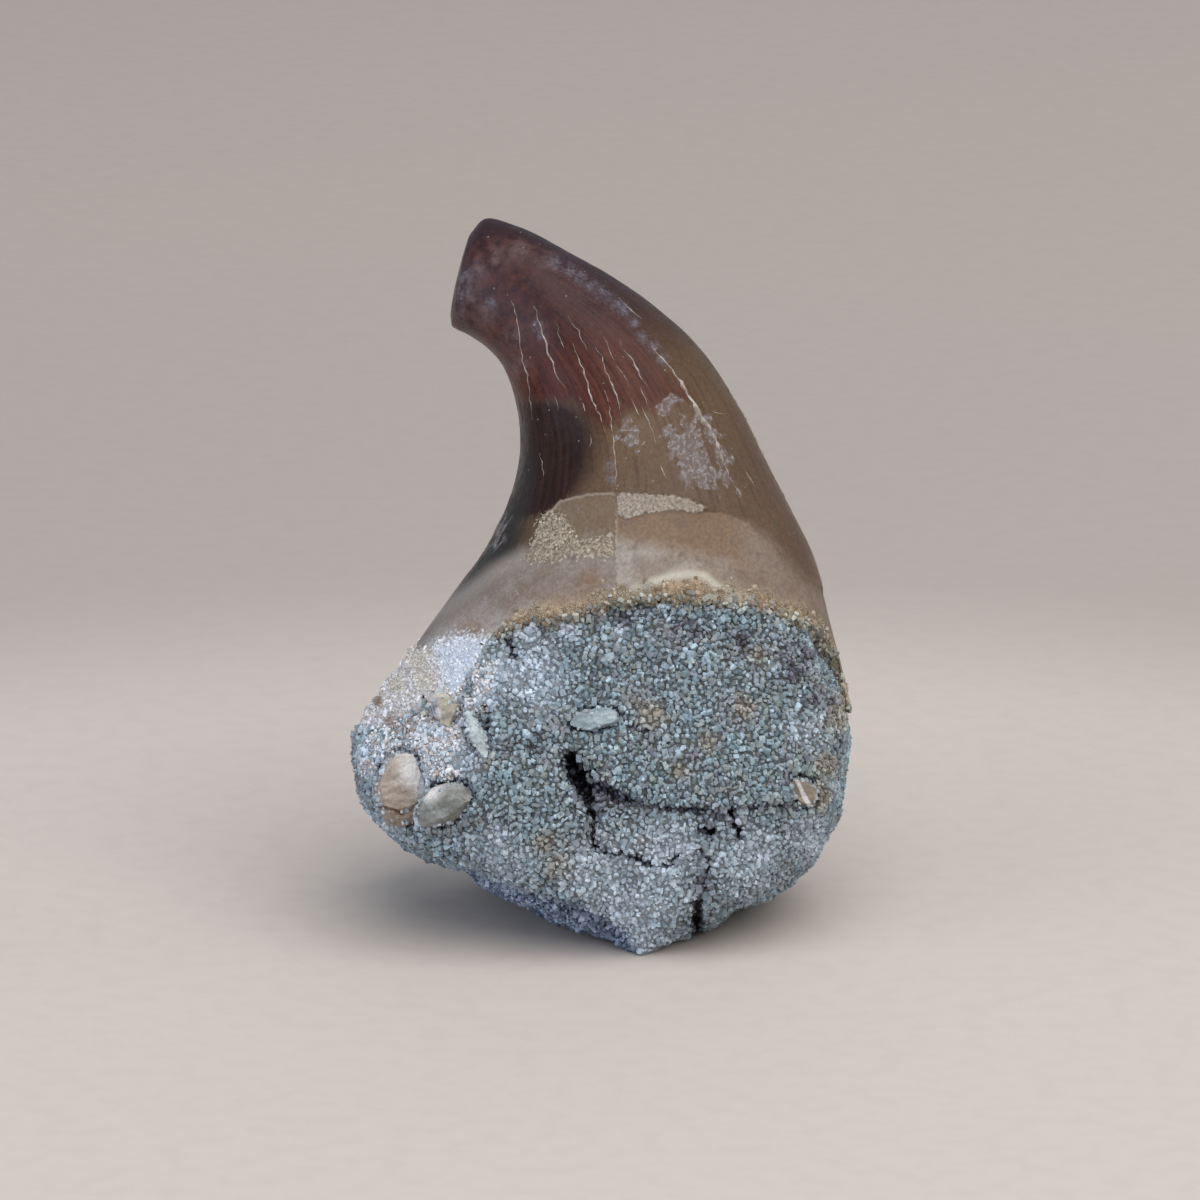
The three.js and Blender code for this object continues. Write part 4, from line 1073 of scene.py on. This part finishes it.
# node: piece, turn of its length in degrees, the cuts that give it its faces, as (along, across,
# out of the face, share kept), and its material's name, dark, middle and light tones, roughness
CHIPS = {
    "tan_bone_chip": (
        "tan_bone", 72,
        [(0, 0, 1, 0.44), (0.2, 1, 0.3, 0.9), (0.1, -1, 0.3, 0.93), (1, 0.35, 0.3, 0.93),
         (1, -0.8, 0.5, 0.9), (-1, -0.5, 0.7, 0.72), (-1, 0.8, 0.3, 0.88)],
        ("Tan fossil bone", "#7d6f62", "#98897c", "#b4aa9f", 0.65),
    ),
    "green_bone_lens": (
        "green_lens", 33,
        [(0, 0, 1, 0.42), (0, 0.8, 0.9, 0.7), (0.1, -0.8, 0.8, 0.75), (0.7, 0.2, 0.9, 0.62)],
        ("Grey green phosphate", "#5d5f58", "#757874", "#969c9b", 0.4),
    ),
    "ochre_flake": (
        "ochre_shard", -66,
        [(0, 0, 1, 0.22), (0.9, 0.7, 0.4, 0.62), (-0.9, 0.6, 0.5, 0.6), (-0.3, -1, 0.5, 0.72)],
        ("Ochre stained bone", "#968d80", "#b3ab9c", "#d2ccc0", 0.85),
    ),
    "pale_sliver": (
        "shell_sliver", -66,
        [(0, 0, 1, 0.5), (0, 1, 0.6, 0.7)],
        ("Pale shell sliver", "#98a4a6", "#b0bcbd", "#cfd9db", 0.55),
    ),
    "pale_splinter": (
        "shell_splinter", 8,
        [(0, 0, 1, 0.5), (0.1, 1, 0.9, 0.7), (1, 0.1, 0, 0.74), (-0.9, -0.1, 1.3, 0.5),
         (0.3, -1, 0.4, 0.75)],
        ("Bluish shell splinter", "#7a8990", "#96a6ad", "#bbc8cc", 0.5),
    ),
    "side_bone_chip": (
        "side_flake", -50,
        [(0, 0, 1, 0.32), (-0.7, 1, 0.3, 0.5), (0.9, 0.8, 0.4, 0.66)],
        ("Worn side bone", "#695f50", "#8b8070", "#ada490", 0.85),
    ),
}
# On the tan chip: a crack and where it is faded. On the side chip: a pale needle of shell.
BONE_CRACK = [(-23.2, 14.0), (-22.4, 13.6), (-21.6, 13.3), (-20.9, 13.2), (-20.2, 12.8)]
BONE_FADED = [(-18.6, 17.0, 2.4), (-18.0, 15.4, 1.6), (-20.4, 18.8, 1.3), (-17.4, 21.4, 0.6)]
BONE_NEEDLE = [(12.8, 16.6), (13.4, 15.4), (14.3, 13.6)]


def make_chip(node, name, turn, cuts, finish):
    """A chip with worn facets: a fine copy of its solid, cut back by planes."""
    piece = fine_copy(node, name, 0.1, 6)
    points = to_face(places(piece))
    middle = (points.min(0) + points.max(0)) / 2
    angle = math.radians(turn)
    cos, sin = math.cos(angle), math.sin(angle)
    axes = np.array([[cos, 0, sin], [-sin, 0, cos], [0, -1, 0]])
    local = (points - middle) @ axes.T
    half = np.abs(local).max(0)
    for along, across, out, share in cuts:
        normal = np.array([along, across, out]) / half
        normal /= np.linalg.norm(normal)
        reach = local @ normal
        over = np.maximum(reach - reach.max() * share, 0)
        local -= over[:, None] * normal
    points = middle + local @ axes
    rise = 0.12 * shake(points, 1.3, 21) + 0.06 * shake(points, 0.4, 22)
    crack = smooth(0.22, 0.08, off_run(points, BONE_CRACK) + 0.06 * shake(points, 0.5, 23))
    rise -= 0.15 * crack
    needle = smooth(0.28, 0.14, off_run(points, BONE_NEEDLE) + 0.1 * shake(points, 0.6, 24))
    give_fields(piece, crack=crack,
                faded=np.maximum(near_spots(points, BONE_FADED), 0.8 * needle))
    move_to(piece, to_row(points))
    move_to(piece, places(piece) + rise[:, None] * directions(piece) * MM)
    piece.data.materials.append(bone_chip(*finish, -angle))
    return piece


chips = {node: make_chip(node, *facts) for node, facts in CHIPS.items()}
chip_trees = [search_tree(piece) for piece in chips.values()]


def chip_edges():
    """The chips as one ground, with a field of where sand lies over their edges."""
    points, faces, sanded = [], [], []
    for piece in chips.values():
        start = len(points)
        here = to_face(places(piece))
        toward = to_face(places(piece) + directions(piece) * MM)[:, 1] - here[:, 1]
        points += places(piece).tolist()
        faces += [[start + v for v in polygon.vertices] for polygon in piece.data.polygons]
        turned = smooth(-0.7, -0.35, toward + 0.2 * shake(here, 1.2, 25, 2))
        sanded += (0.85 * turned * (toward < 0.4)).tolist()
    mesh = bpy.data.meshes.new("chip_edges")
    mesh.from_pydata(points, [], faces)
    ground = new_piece("chip_edges", mesh)
    give_fields(ground, sanded=sanded, pale=0.6, ochre=0.5)
    return ground


# ---- the sandstone ---------------------------------------------------------------------------

# How far in mm the sandstone lies under the tooth's skin, away from the broken edge.
TUCK = 0.7


def hidden_by(trees, points, inset):
    """Whether each point lies up to 4 mm behind a piece, seen from the front, and further than
    the inset from its outline."""
    ahead = Vector((0, -1, 0))
    sides = [Vector((x * inset, 0, z * inset)) for x, z in ((1, 0), (-1, 0), (0, 1), (0, -1))]
    return np.array([
        any(all(tree.ray_cast(Vector(p) + side, ahead, 4.0)[0] is not None for side in sides)
            for tree in trees)
        for p in points
    ])


def tucked(points):
    """Points moved back under the tooth's skin where they would come through it, and whether
    each lies behind it."""
    found = [tooth_tree.find_nearest(Vector(p)) for p in points]
    at, away = np.array([[list(f[0]), list(f[1])] for f in found]).swapaxes(0, 1)
    corners = [tooth.data.polygons[f[2]].vertices[0] for f in found]
    gap = ((points - at) * away).sum(1)
    # Past the skin's edge the nearest point isn't straight above, and nothing is covered.
    covered = np.linalg.norm(points - at, axis=1) < 1.15 * np.abs(gap) + 0.15
    covered &= (gap < 1.5) & (mm_from_break[corners] > TUCK)
    over = np.clip(gap + TUCK, 0, None) * covered
    # A point whose line of sight comes out through the skin is inside the tooth.
    ahead = Vector((0, -1, 0))
    seen = [tooth_tree.ray_cast(Vector(p), ahead)[1] for p in points]
    within = np.array([normal is not None and normal.dot(ahead) > 0 for normal in seen])
    return points - away * over[:, None], within | (over > 0)


def make_sandstone():
    """The lump under its grains, with its cracks, and the fields that its grains read."""
    piece = fine_copy("sandstone", "sandstone_lump", 0.27, 6)
    points = to_face(places(piece))
    normals = to_face(places(piece) + directions(piece) * MM) - points
    on_front = (normals[:, 1] < 0.5) & (points[:, 1] < 5)
    under_chip, deep_under = np.zeros((2, len(points)), bool)
    under_chip[on_front] = hidden_by(chip_trees, points[on_front], 0.1)
    deep_under[on_front] = hidden_by(chip_trees, points[on_front], 0.5)
    ripple = shake(points, 0.7, 31)
    jagged = shake(points, 0.3, 35, 2)
    # The cracks: how deep each point is carved, and how far it is from the nearest.
    carved = np.zeros(len(points))
    deep_in, in_pit = np.zeros((2, len(points)), bool)
    clear = np.full(len(points), FAR)
    for run, half, deep in STONE_CRACKS:
        gap = off_run(points, run) + 0.3 * ripple
        if deep > PIT:
            gap += 0.45 * ripple + 0.5 * jagged
        carved = np.maximum(carved, deep * smooth(half + 0.15, half - 0.15, gap))
        deep_in |= (gap < half - 0.12) & (deep > 1.3)
        in_pit |= (gap < half) & (deep > PIT)
        clear = np.minimum(clear, gap - half)
    under_edge = np.interp(points[:, 0], *zip(*LOW_EDGE)) + 0.4 * ripple - points[:, 2]
    undercut = smooth(-0.1, 0.9, under_edge) * on_front * smooth(1.0, -0.5, points[:, 0])
    carved = carved * on_front + UNDERCUT * undercut
    # The rock stands a little proud along the tooth's broken edge.
    off_break = off_run(points, BREAK_EDGE)
    rise = 0.26 * shake(points, 2.4, 32) + 0.18 * ripple - 0.34
    rise += 0.25 * smooth(1.4, 0.2, off_break) * on_front
    moved = points + normals * rise[:, None]
    moved[:, 1] += carved
    moved, in_tooth = tucked(moved)
    floor_gap = places(piece)[:, 2] / MM
    move_to(piece, to_row(moved))
    # The foot stays on the floor.
    row = places(piece)
    row[:, 2] = np.where(floor_gap < 0.3, floor_gap * MM, np.maximum(row[:, 2], 0.0))
    move_to(piece, row)

    # The stains and the painted shade of the dark spots are on the front; elsewhere the tones only
    # drift.
    broad = shake(points, 5.0, 33, 2)
    patchy = shake(points, 1.2, 34)
    ahead = smooth(3.0, -1.0, points[:, 1])
    rusted = smooth(1.1, 0.2, off_break + 0.4 * patchy) * smooth(-13.5, -12.0, points[:, 0])
    ochre = near_spots(points, OCHRE_STAINS) * ahead + 0.3 * smooth(0.25, 0.7, patchy)
    ochre += 0.6 * rusted * ahead + 0.15 * broad
    dark = near_spots(points, DARK_STAINS_AND_SHADE) * ahead * smooth(-0.6, 0.2, patchy)
    # Painted shade: the sand is dark in the cracks and along their edges.
    dark = np.maximum(dark, smooth(0.25, -0.1, clear) * on_front)
    pale = near_spots(points, PALE_STAINS) * ahead + 0.4 * smooth(0.35, 0.8, -patchy)
    pale += near_spots(points, PALE_WASH) * ahead * (0.7 + 0.3 * broad + 0.2 * patchy)
    pale += 0.12 * smooth(14.0, 9.0, points[:, 2]) * ahead
    plaster = smooth(0.35, 0.75, near_spots(points, PLASTER_SPREAD) + 0.3 * patchy) * ahead
    hidden = in_tooth | (floor_gap < 0.4)
    bare = hidden | under_chip | (deep_in & on_front)
    bare_of_fine = hidden | deep_under | (deep_in & ~in_pit & on_front)
    give_fields(
        # The undercut is given as shade, which the materials paint bluish dark.
        piece, face=moved, shade=undercut, plaster=plaster,
        ochre=np.clip(ochre, 0, 1), dark=np.clip(dark, 0, 1), pale=np.clip(pale, 0, 1),
        cream=near_spots(points, CREAM), blotch=near_spots(points, BLOTCHES),
        # The crumbs' material reads these two as mm inside a zone, and here there is none.
        chalk=-FAR, filler=-FAR,
        # Where coarse grains lie, where fine ones do, and where the crumbs of plaster do.
        open=np.where(bare, 0.0, 1.0 - 0.8 * plaster),
        open_fine=~bare_of_fine,
        open_plaster=np.where(hidden | under_chip, 0.0, plaster),
    )
    piece.data.materials.append(sandstone_bed())
    return piece


def scatter_tree():
    """Grains on a surface: bits and blocks, each with its own turn, size and tone."""
    tree, given = make_tree("grain_scatter", [
        ("Where", "String"), ("Spacing", "Float"), ("Smallest", "Float"), ("Largest", "Float"),
        ("Sink", "Float"), ("Seed", "Int"), ("Finish", "Material"),
    ])

    def chance(order, low, high, kind="FLOAT"):
        """Random values, one for each grain. A node of each kind has inputs of its own."""
        seed = add(tree, "FunctionNodeIntegerMath", [given["Seed"], order])
        first, result = (0, 0) if kind == "FLOAT_VECTOR" else (2, 1)
        return add(tree, "FunctionNodeRandomValue", {first: low, first + 1: high, "Seed": seed},
                   data_type=kind).outputs[result]

    where = add(tree, "GeometryNodeInputNamedAttribute", {"Name": given["Where"]},
                data_type="FLOAT")
    # Far more points than there is room for, so that the spacing alone thins them.
    area = add(tree, MATH, [given["Spacing"], 2.0], operation="POWER")
    crowd = add(tree, MATH, [3.0, area], operation="DIVIDE")
    spots = add(
        tree, "GeometryNodeDistributePointsOnFaces",
        {"Mesh": given["Geometry"], "Distance Min": given["Spacing"], "Density Max": crowd,
         "Density Factor": where, "Seed": given["Seed"]},
        distribute_method="POISSON",
    )
    sink = add(tree, MATH, [given["Sink"], -1.0], operation="MULTIPLY")
    lower = add(tree, "ShaderNodeVectorMath", {0: spots.outputs["Normal"], 3: sink},
                operation="SCALE")
    sunk = add(tree, "GeometryNodeSetPosition",
               {"Geometry": spots.outputs["Points"], "Offset": lower})

    # Small grains are the commoner ones.
    uneven = add(tree, MATH, [chance(1, 0.0, 1.0), 1.7], operation="POWER")
    size = add(tree, RANGE, {0: uneven, 3: given["Smallest"], 4: given["Largest"]})
    shape = chance(2, (0.8, 0.65, 0.5), (1.6, 1.2, 1.0), "FLOAT_VECTOR")
    scale = add(tree, "ShaderNodeVectorMath", {0: shape, 3: size}, operation="SCALE")
    turn = chance(3, (0.0, 0.0, 0.0), (6.28, 6.28, 6.28), "FLOAT_VECTOR")
    pebble = add(tree, "GeometryNodeMeshIcoSphere", {"Radius": 0.5, "Subdivisions": 1})
    block = add(tree, "GeometryNodeMeshCube", {"Size": (0.8, 0.75, 0.7)})
    shapes = add(tree, "GeometryNodeGeometryToInstance", [pebble])
    tree.links.new(block.outputs[0], shapes.inputs[0])
    placed = add(
        tree, "GeometryNodeInstanceOnPoints",
        {"Points": sunk, "Instance": shapes, "Pick Instance": True,
         "Instance Index": chance(5, 0.0, 1.99), "Rotation": turn, "Scale": scale},
    )
    toned = add(tree, "GeometryNodeStoreNamedAttribute",
                {"Geometry": placed, "Name": "tone", "Value": chance(4, 0.0, 1.0)},
                data_type="FLOAT", domain="INSTANCE")
    return end_tree(tree, toned, given["Finish"])


SCATTER = scatter_tree()


def scatter(ground, name, where, spacing, smallest, largest, sink, seed, finish):
    """Grains in mm on a piece's surface, kept off the floor."""
    base = new_piece(name + "_base", ground.data)
    piece = run_tree(
        base, name, SCATTER, Where=where, Spacing=spacing * MM, Smallest=smallest * MM,
        Largest=largest * MM, Sink=sink * MM, Seed=seed, Finish=finish,
    )
    row = places(piece)
    row[:, 2] = np.maximum(row[:, 2], 0.0)
    move_to(piece, row)
    return piece


sandstone = make_sandstone()
sand = sand_grains()
crumb = root_crumbs()
# The numbers: how far apart, smallest, largest and how far sunk, all in mm, and the seed.
coarse_sand = scatter(sandstone, "coarse_sand", "open", 0.6, 0.44, 0.82, 0.04, 3, sand)
middle_sand = scatter(sandstone, "middle_sand", "open", 0.46, 0.4, 0.65, 0.02, 4, sand)
fine_sand = scatter(sandstone, "fine_sand", "open_fine", 0.44, 0.28, 0.5, -0.1, 5, sand)
plaster = scatter(tooth, "root_plaster", "plaster", 0.27, 0.16, 0.42, 0.04, 6, crumb)
spread = scatter(sandstone, "spread_plaster", "open_plaster", 0.27, 0.2, 0.5, -0.12, 10, crumb)
crumbs = scatter(tooth, "rim_crumbs", "crumbs", 0.36, 0.25, 0.65, 0.1, 9, crumb)
filler_sand = scatter(tooth, "filler_sand", "sand", 0.28, 0.14, 0.34, 0.03, 7, crumb)
rim_sand = scatter(tooth, "rim_sand", "edge", 0.38, 0.34, 0.66, -0.05, 8, sand)
edge_ground = chip_edges()
chip_sand = scatter(edge_ground, "chip_sand", "sanded", 0.34, 0.28, 0.56, -0.02, 11, sand)
bpy.data.objects.remove(edge_ground)

# ---- the white cracks ------------------------------------------------------------------------

# How much of its radius a crack's filling is sunk by, so that it lies as a low ridge.
SUNK = 0.4


def crack_lines():
    """The cracks as lines of skin points in face mm, each with its direction outward, and a
    radius for each line. A line's points lie about 0.4 mm apart and stray a little."""
    chance = np.random.default_rng(8)
    lines = []
    for tenths, run in WHITE_CRACKS:
        run = np.array(run)
        steps = np.linalg.norm(np.diff(run, axis=0), axis=1)
        length = np.concatenate([[0], np.cumsum(steps)])
        wanted = np.linspace(0, length[-1], max(4, int(length[-1] / 0.4)))
        across = np.interp(wanted, length, run[:, 0]) + chance.normal(0, 0.055, len(wanted))
        up = np.interp(wanted, length, run[:, 1])
        found = [
            tooth_tree.ray_cast(Vector((x, -60, z)), Vector((0, 1, 0)))[:2]
            for x, z in zip(across, up)
        ]
        line = np.array([[list(p), list(out)] for p, out in found if p is not None])
        # Half the width and about a quarter more, so that the finest still show.
        lines.append((line, tenths * 0.062))
    # The others start between these rows of the skin and run down 14 to 44 rows.
    top, bottom = 25, 120
    for _ in range(BACK_CRACKS):
        column = chance.uniform(-6, BACK_COLUMNS + 6)
        start = chance.integers(top, bottom)
        rows = np.arange(start, start + chance.integers(14, 45))
        wander = column + np.cumsum(chance.normal(0, 0.12, len(rows)))
        columns = np.round(wander).astype(int) % len(ANGLES)
        found = [tooth_tree.find_nearest(Vector(SKIN[r, c]))[:2] for r, c in zip(rows, columns)]
        line = np.array([[list(point), list(out)] for point, out in found])
        lines.append((line, chance.uniform(0.025, 0.065)))
    return lines


def vein_tree():
    """Round veins along lines, with a wandering course and an uneven thickness."""
    tree, given = make_tree("mineral_vein", [
        ("Wander", "Float"), ("Lumps per metre", "Float"), ("Finish", "Material"),
    ])
    line = add(tree, "GeometryNodeMeshToCurve", {"Mesh": given["Geometry"]})
    place = add(tree, "GeometryNodeInputPosition")
    lumps = add(tree, NOISE, {"Vector": place, "Scale": given["Lumps per metre"], "Detail": 2})
    centred = add(tree, "ShaderNodeVectorMath", [lumps.outputs["Color"], (0.5, 0.5, 0.5)],
                  operation="SUBTRACT")
    offset = add(tree, "ShaderNodeVectorMath", {0: centred, 3: given["Wander"]},
                 operation="SCALE")
    bent = add(tree, "GeometryNodeSetPosition", {"Geometry": line, "Offset": offset})
    thick = add(tree, "GeometryNodeInputNamedAttribute", {"Name": "thick"}, data_type="FLOAT")
    uneven = add(tree, RANGE, [lumps, 0.36, 0.64, 0.5, 1.7])
    radius = add(tree, MATH, [thick, uneven], operation="MULTIPLY")
    ring = add(tree, "GeometryNodeCurvePrimitiveCircle", {"Resolution": 6, "Radius": 1.0})
    tube = add(tree, "GeometryNodeCurveToMesh",
               {0: bent, 1: ring, "Scale": radius, "Fill Caps": True})
    return end_tree(tree, add(tree, "GeometryNodeSetShadeSmooth", [tube]), given["Finish"])


def make_cracks():
    """The filling of every crack as one piece, thinner at both ends of each."""
    points, edges, thick = [], [], []
    for line, radius in crack_lines():
        start = len(points)
        taper = np.minimum(np.linspace(0, 3, len(line)), np.linspace(3, 0, len(line)))
        reach = radius * np.clip(taper, 0.2, 1)
        points += list(line[:, 0] - SUNK * reach[:, None] * line[:, 1])
        thick += list(reach * MM)
        edges += [[start + i, start + i + 1] for i in range(len(line) - 1)]
    mesh = bpy.data.meshes.new("white_cracks_base")
    mesh.from_pydata(to_row(np.array(points)).tolist(), edges, [])
    piece = new_piece("white_cracks_base", mesh)
    give_fields(piece, thick=thick)
    values = {"Wander": 0.14 * MM, "Lumps per metre": 2200.0, "Finish": crack_mineral()}
    return run_tree(piece, "white_cracks", vein_tree(), **values)


cracks = make_cracks()

# ---- stage -----------------------------------------------------------------------------------

# The camera's lens in mm, and its place in face mm, far ahead of the broken face.
LENS = 261
STANDPOINT = [-3.45, -750, 31.03]
# Half the floor's width, in metres.
REACH = 6


def make_stage():
    """A floor of matt paper, level with the foot."""
    mesh = bpy.data.meshes.new("studio_floor")
    corners = [(x * REACH, y * REACH, 0) for x, y in ((-1, -1), (1, -1), (1, 1), (-1, 1))]
    mesh.from_pydata(corners, [], [(0, 1, 2, 3)])
    floor = new_piece("studio_floor", mesh)
    # It is lighter in a pool of light that lies a little ahead of the object.
    material, tree = new_material("Matt taupe paper")
    place = add(tree, "ShaderNodeTexCoord").outputs["Object"]
    ahead = add(tree, "ShaderNodeVectorMath", [place, (0, 0.06, 0)], operation="ADD")
    out = add(tree, "ShaderNodeVectorMath", [ahead], operation="LENGTH").outputs["Value"]
    fleck = add(tree, NOISE, {0: place, "Scale": 0.4 / MM, "Detail": 3})
    tone = layered(tree, linear("#d0c6be"), [
        (add(tree, RANGE, [out, 0.12, 0.18], **EASED), "#b7ada6"),
        (add(tree, RANGE, [out, 0.2, 0.36], **EASED), "#bbb1a8"),
        (add(tree, RANGE, [fleck, 0.4, 0.7, 0.0, 0.06], **EASED), "#8d847d"),
    ])
    mesh.materials.append(surfaced(material, {"Base Color": tone, "Roughness": 0.95}))


def add_light(name, place, aim, size, power, colour, shines=True):
    """A round lamp, its size in metres and power in watts, turned to face a point. One that
    doesn't shine leaves no gleam on glossy surfaces."""
    lamp = bpy.data.lights.new(name, "AREA")
    lamp.shape = "DISK"
    lamp.size = size
    lamp.energy = power
    lamp.color = linear(colour)[:3]
    light = bpy.data.objects.new(name, lamp)
    light.location = place
    light.visible_glossy = shines
    light.rotation_euler = (Vector(aim) - Vector(place)).to_track_quat("-Z", "Y").to_euler()
    bpy.context.scene.collection.objects.link(light)


def make_camera():
    """A long lens, square to the broken face, which leans back."""
    lens = bpy.data.cameras.new("camera")
    lens.lens = LENS
    lens.clip_start = 0.05
    camera = bpy.data.objects.new("camera", lens)
    camera.location = to_row(np.array([STANDPOINT]))[0]
    camera.rotation_euler = (math.radians(90) - LEAN, 0, 0)
    bpy.context.scene.collection.objects.link(camera)
    bpy.context.scene.camera = camera


make_stage()
make_camera()
add_light("key", (0.25, -0.45, 0.8), (0, 0, 0.03), 1.3, 9.8, "#fffaf4")
add_light("fill", (-0.75, -0.5, 0.2), (0, 0, 0.03), 1.1, 5.1, "#dfeaff")
add_light("side", (0.7, 0.1, 0.3), (0, 0, 0.03), 0.6, 0.6, "#ffffff")
add_light("back", (0.1, 0.8, 0.5), (0, 0, 0.03), 0.8, 1.2, "#f4f6ff", shines=False)
# A faint, cool light from all round.
world = bpy.data.worlds.new("studio")
world.use_nodes = True
world.node_tree.nodes["Background"].inputs[0].default_value = linear("#c9d3e0")
world.node_tree.nodes["Background"].inputs[1].default_value = 0.38
bpy.context.scene.world = world
bpy.context.scene.view_settings.view_transform = "Standard"

# ---- the pieces, in place of the imported parts ----------------------------------------------

# Each piece, the nodes whose place it takes, and its slot.
for piece, nodes, slot in (
    (tooth, ["tooth"], "tooth"),
    (plaster, [], "tooth"),
    (crumbs, [], "tooth"),
    (filler_sand, [], "tooth"),
    (rim_sand, [], "tooth"),
    (spread, [], "sandstone"),
    (chip_sand, [], "sandstone"),
    (cracks, [], "tooth"),
    (sandstone, ["sandstone"], "sandstone"),
    (coarse_sand, [], "sandstone"),
    (middle_sand, [], "sandstone"),
    (fine_sand, [], "sandstone"),
    *((chip, [node], node) for node, chip in chips.items()),
):
    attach(piece, "root")
    if nodes:
        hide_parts(*nodes)

bpy.context.view_layer.update()
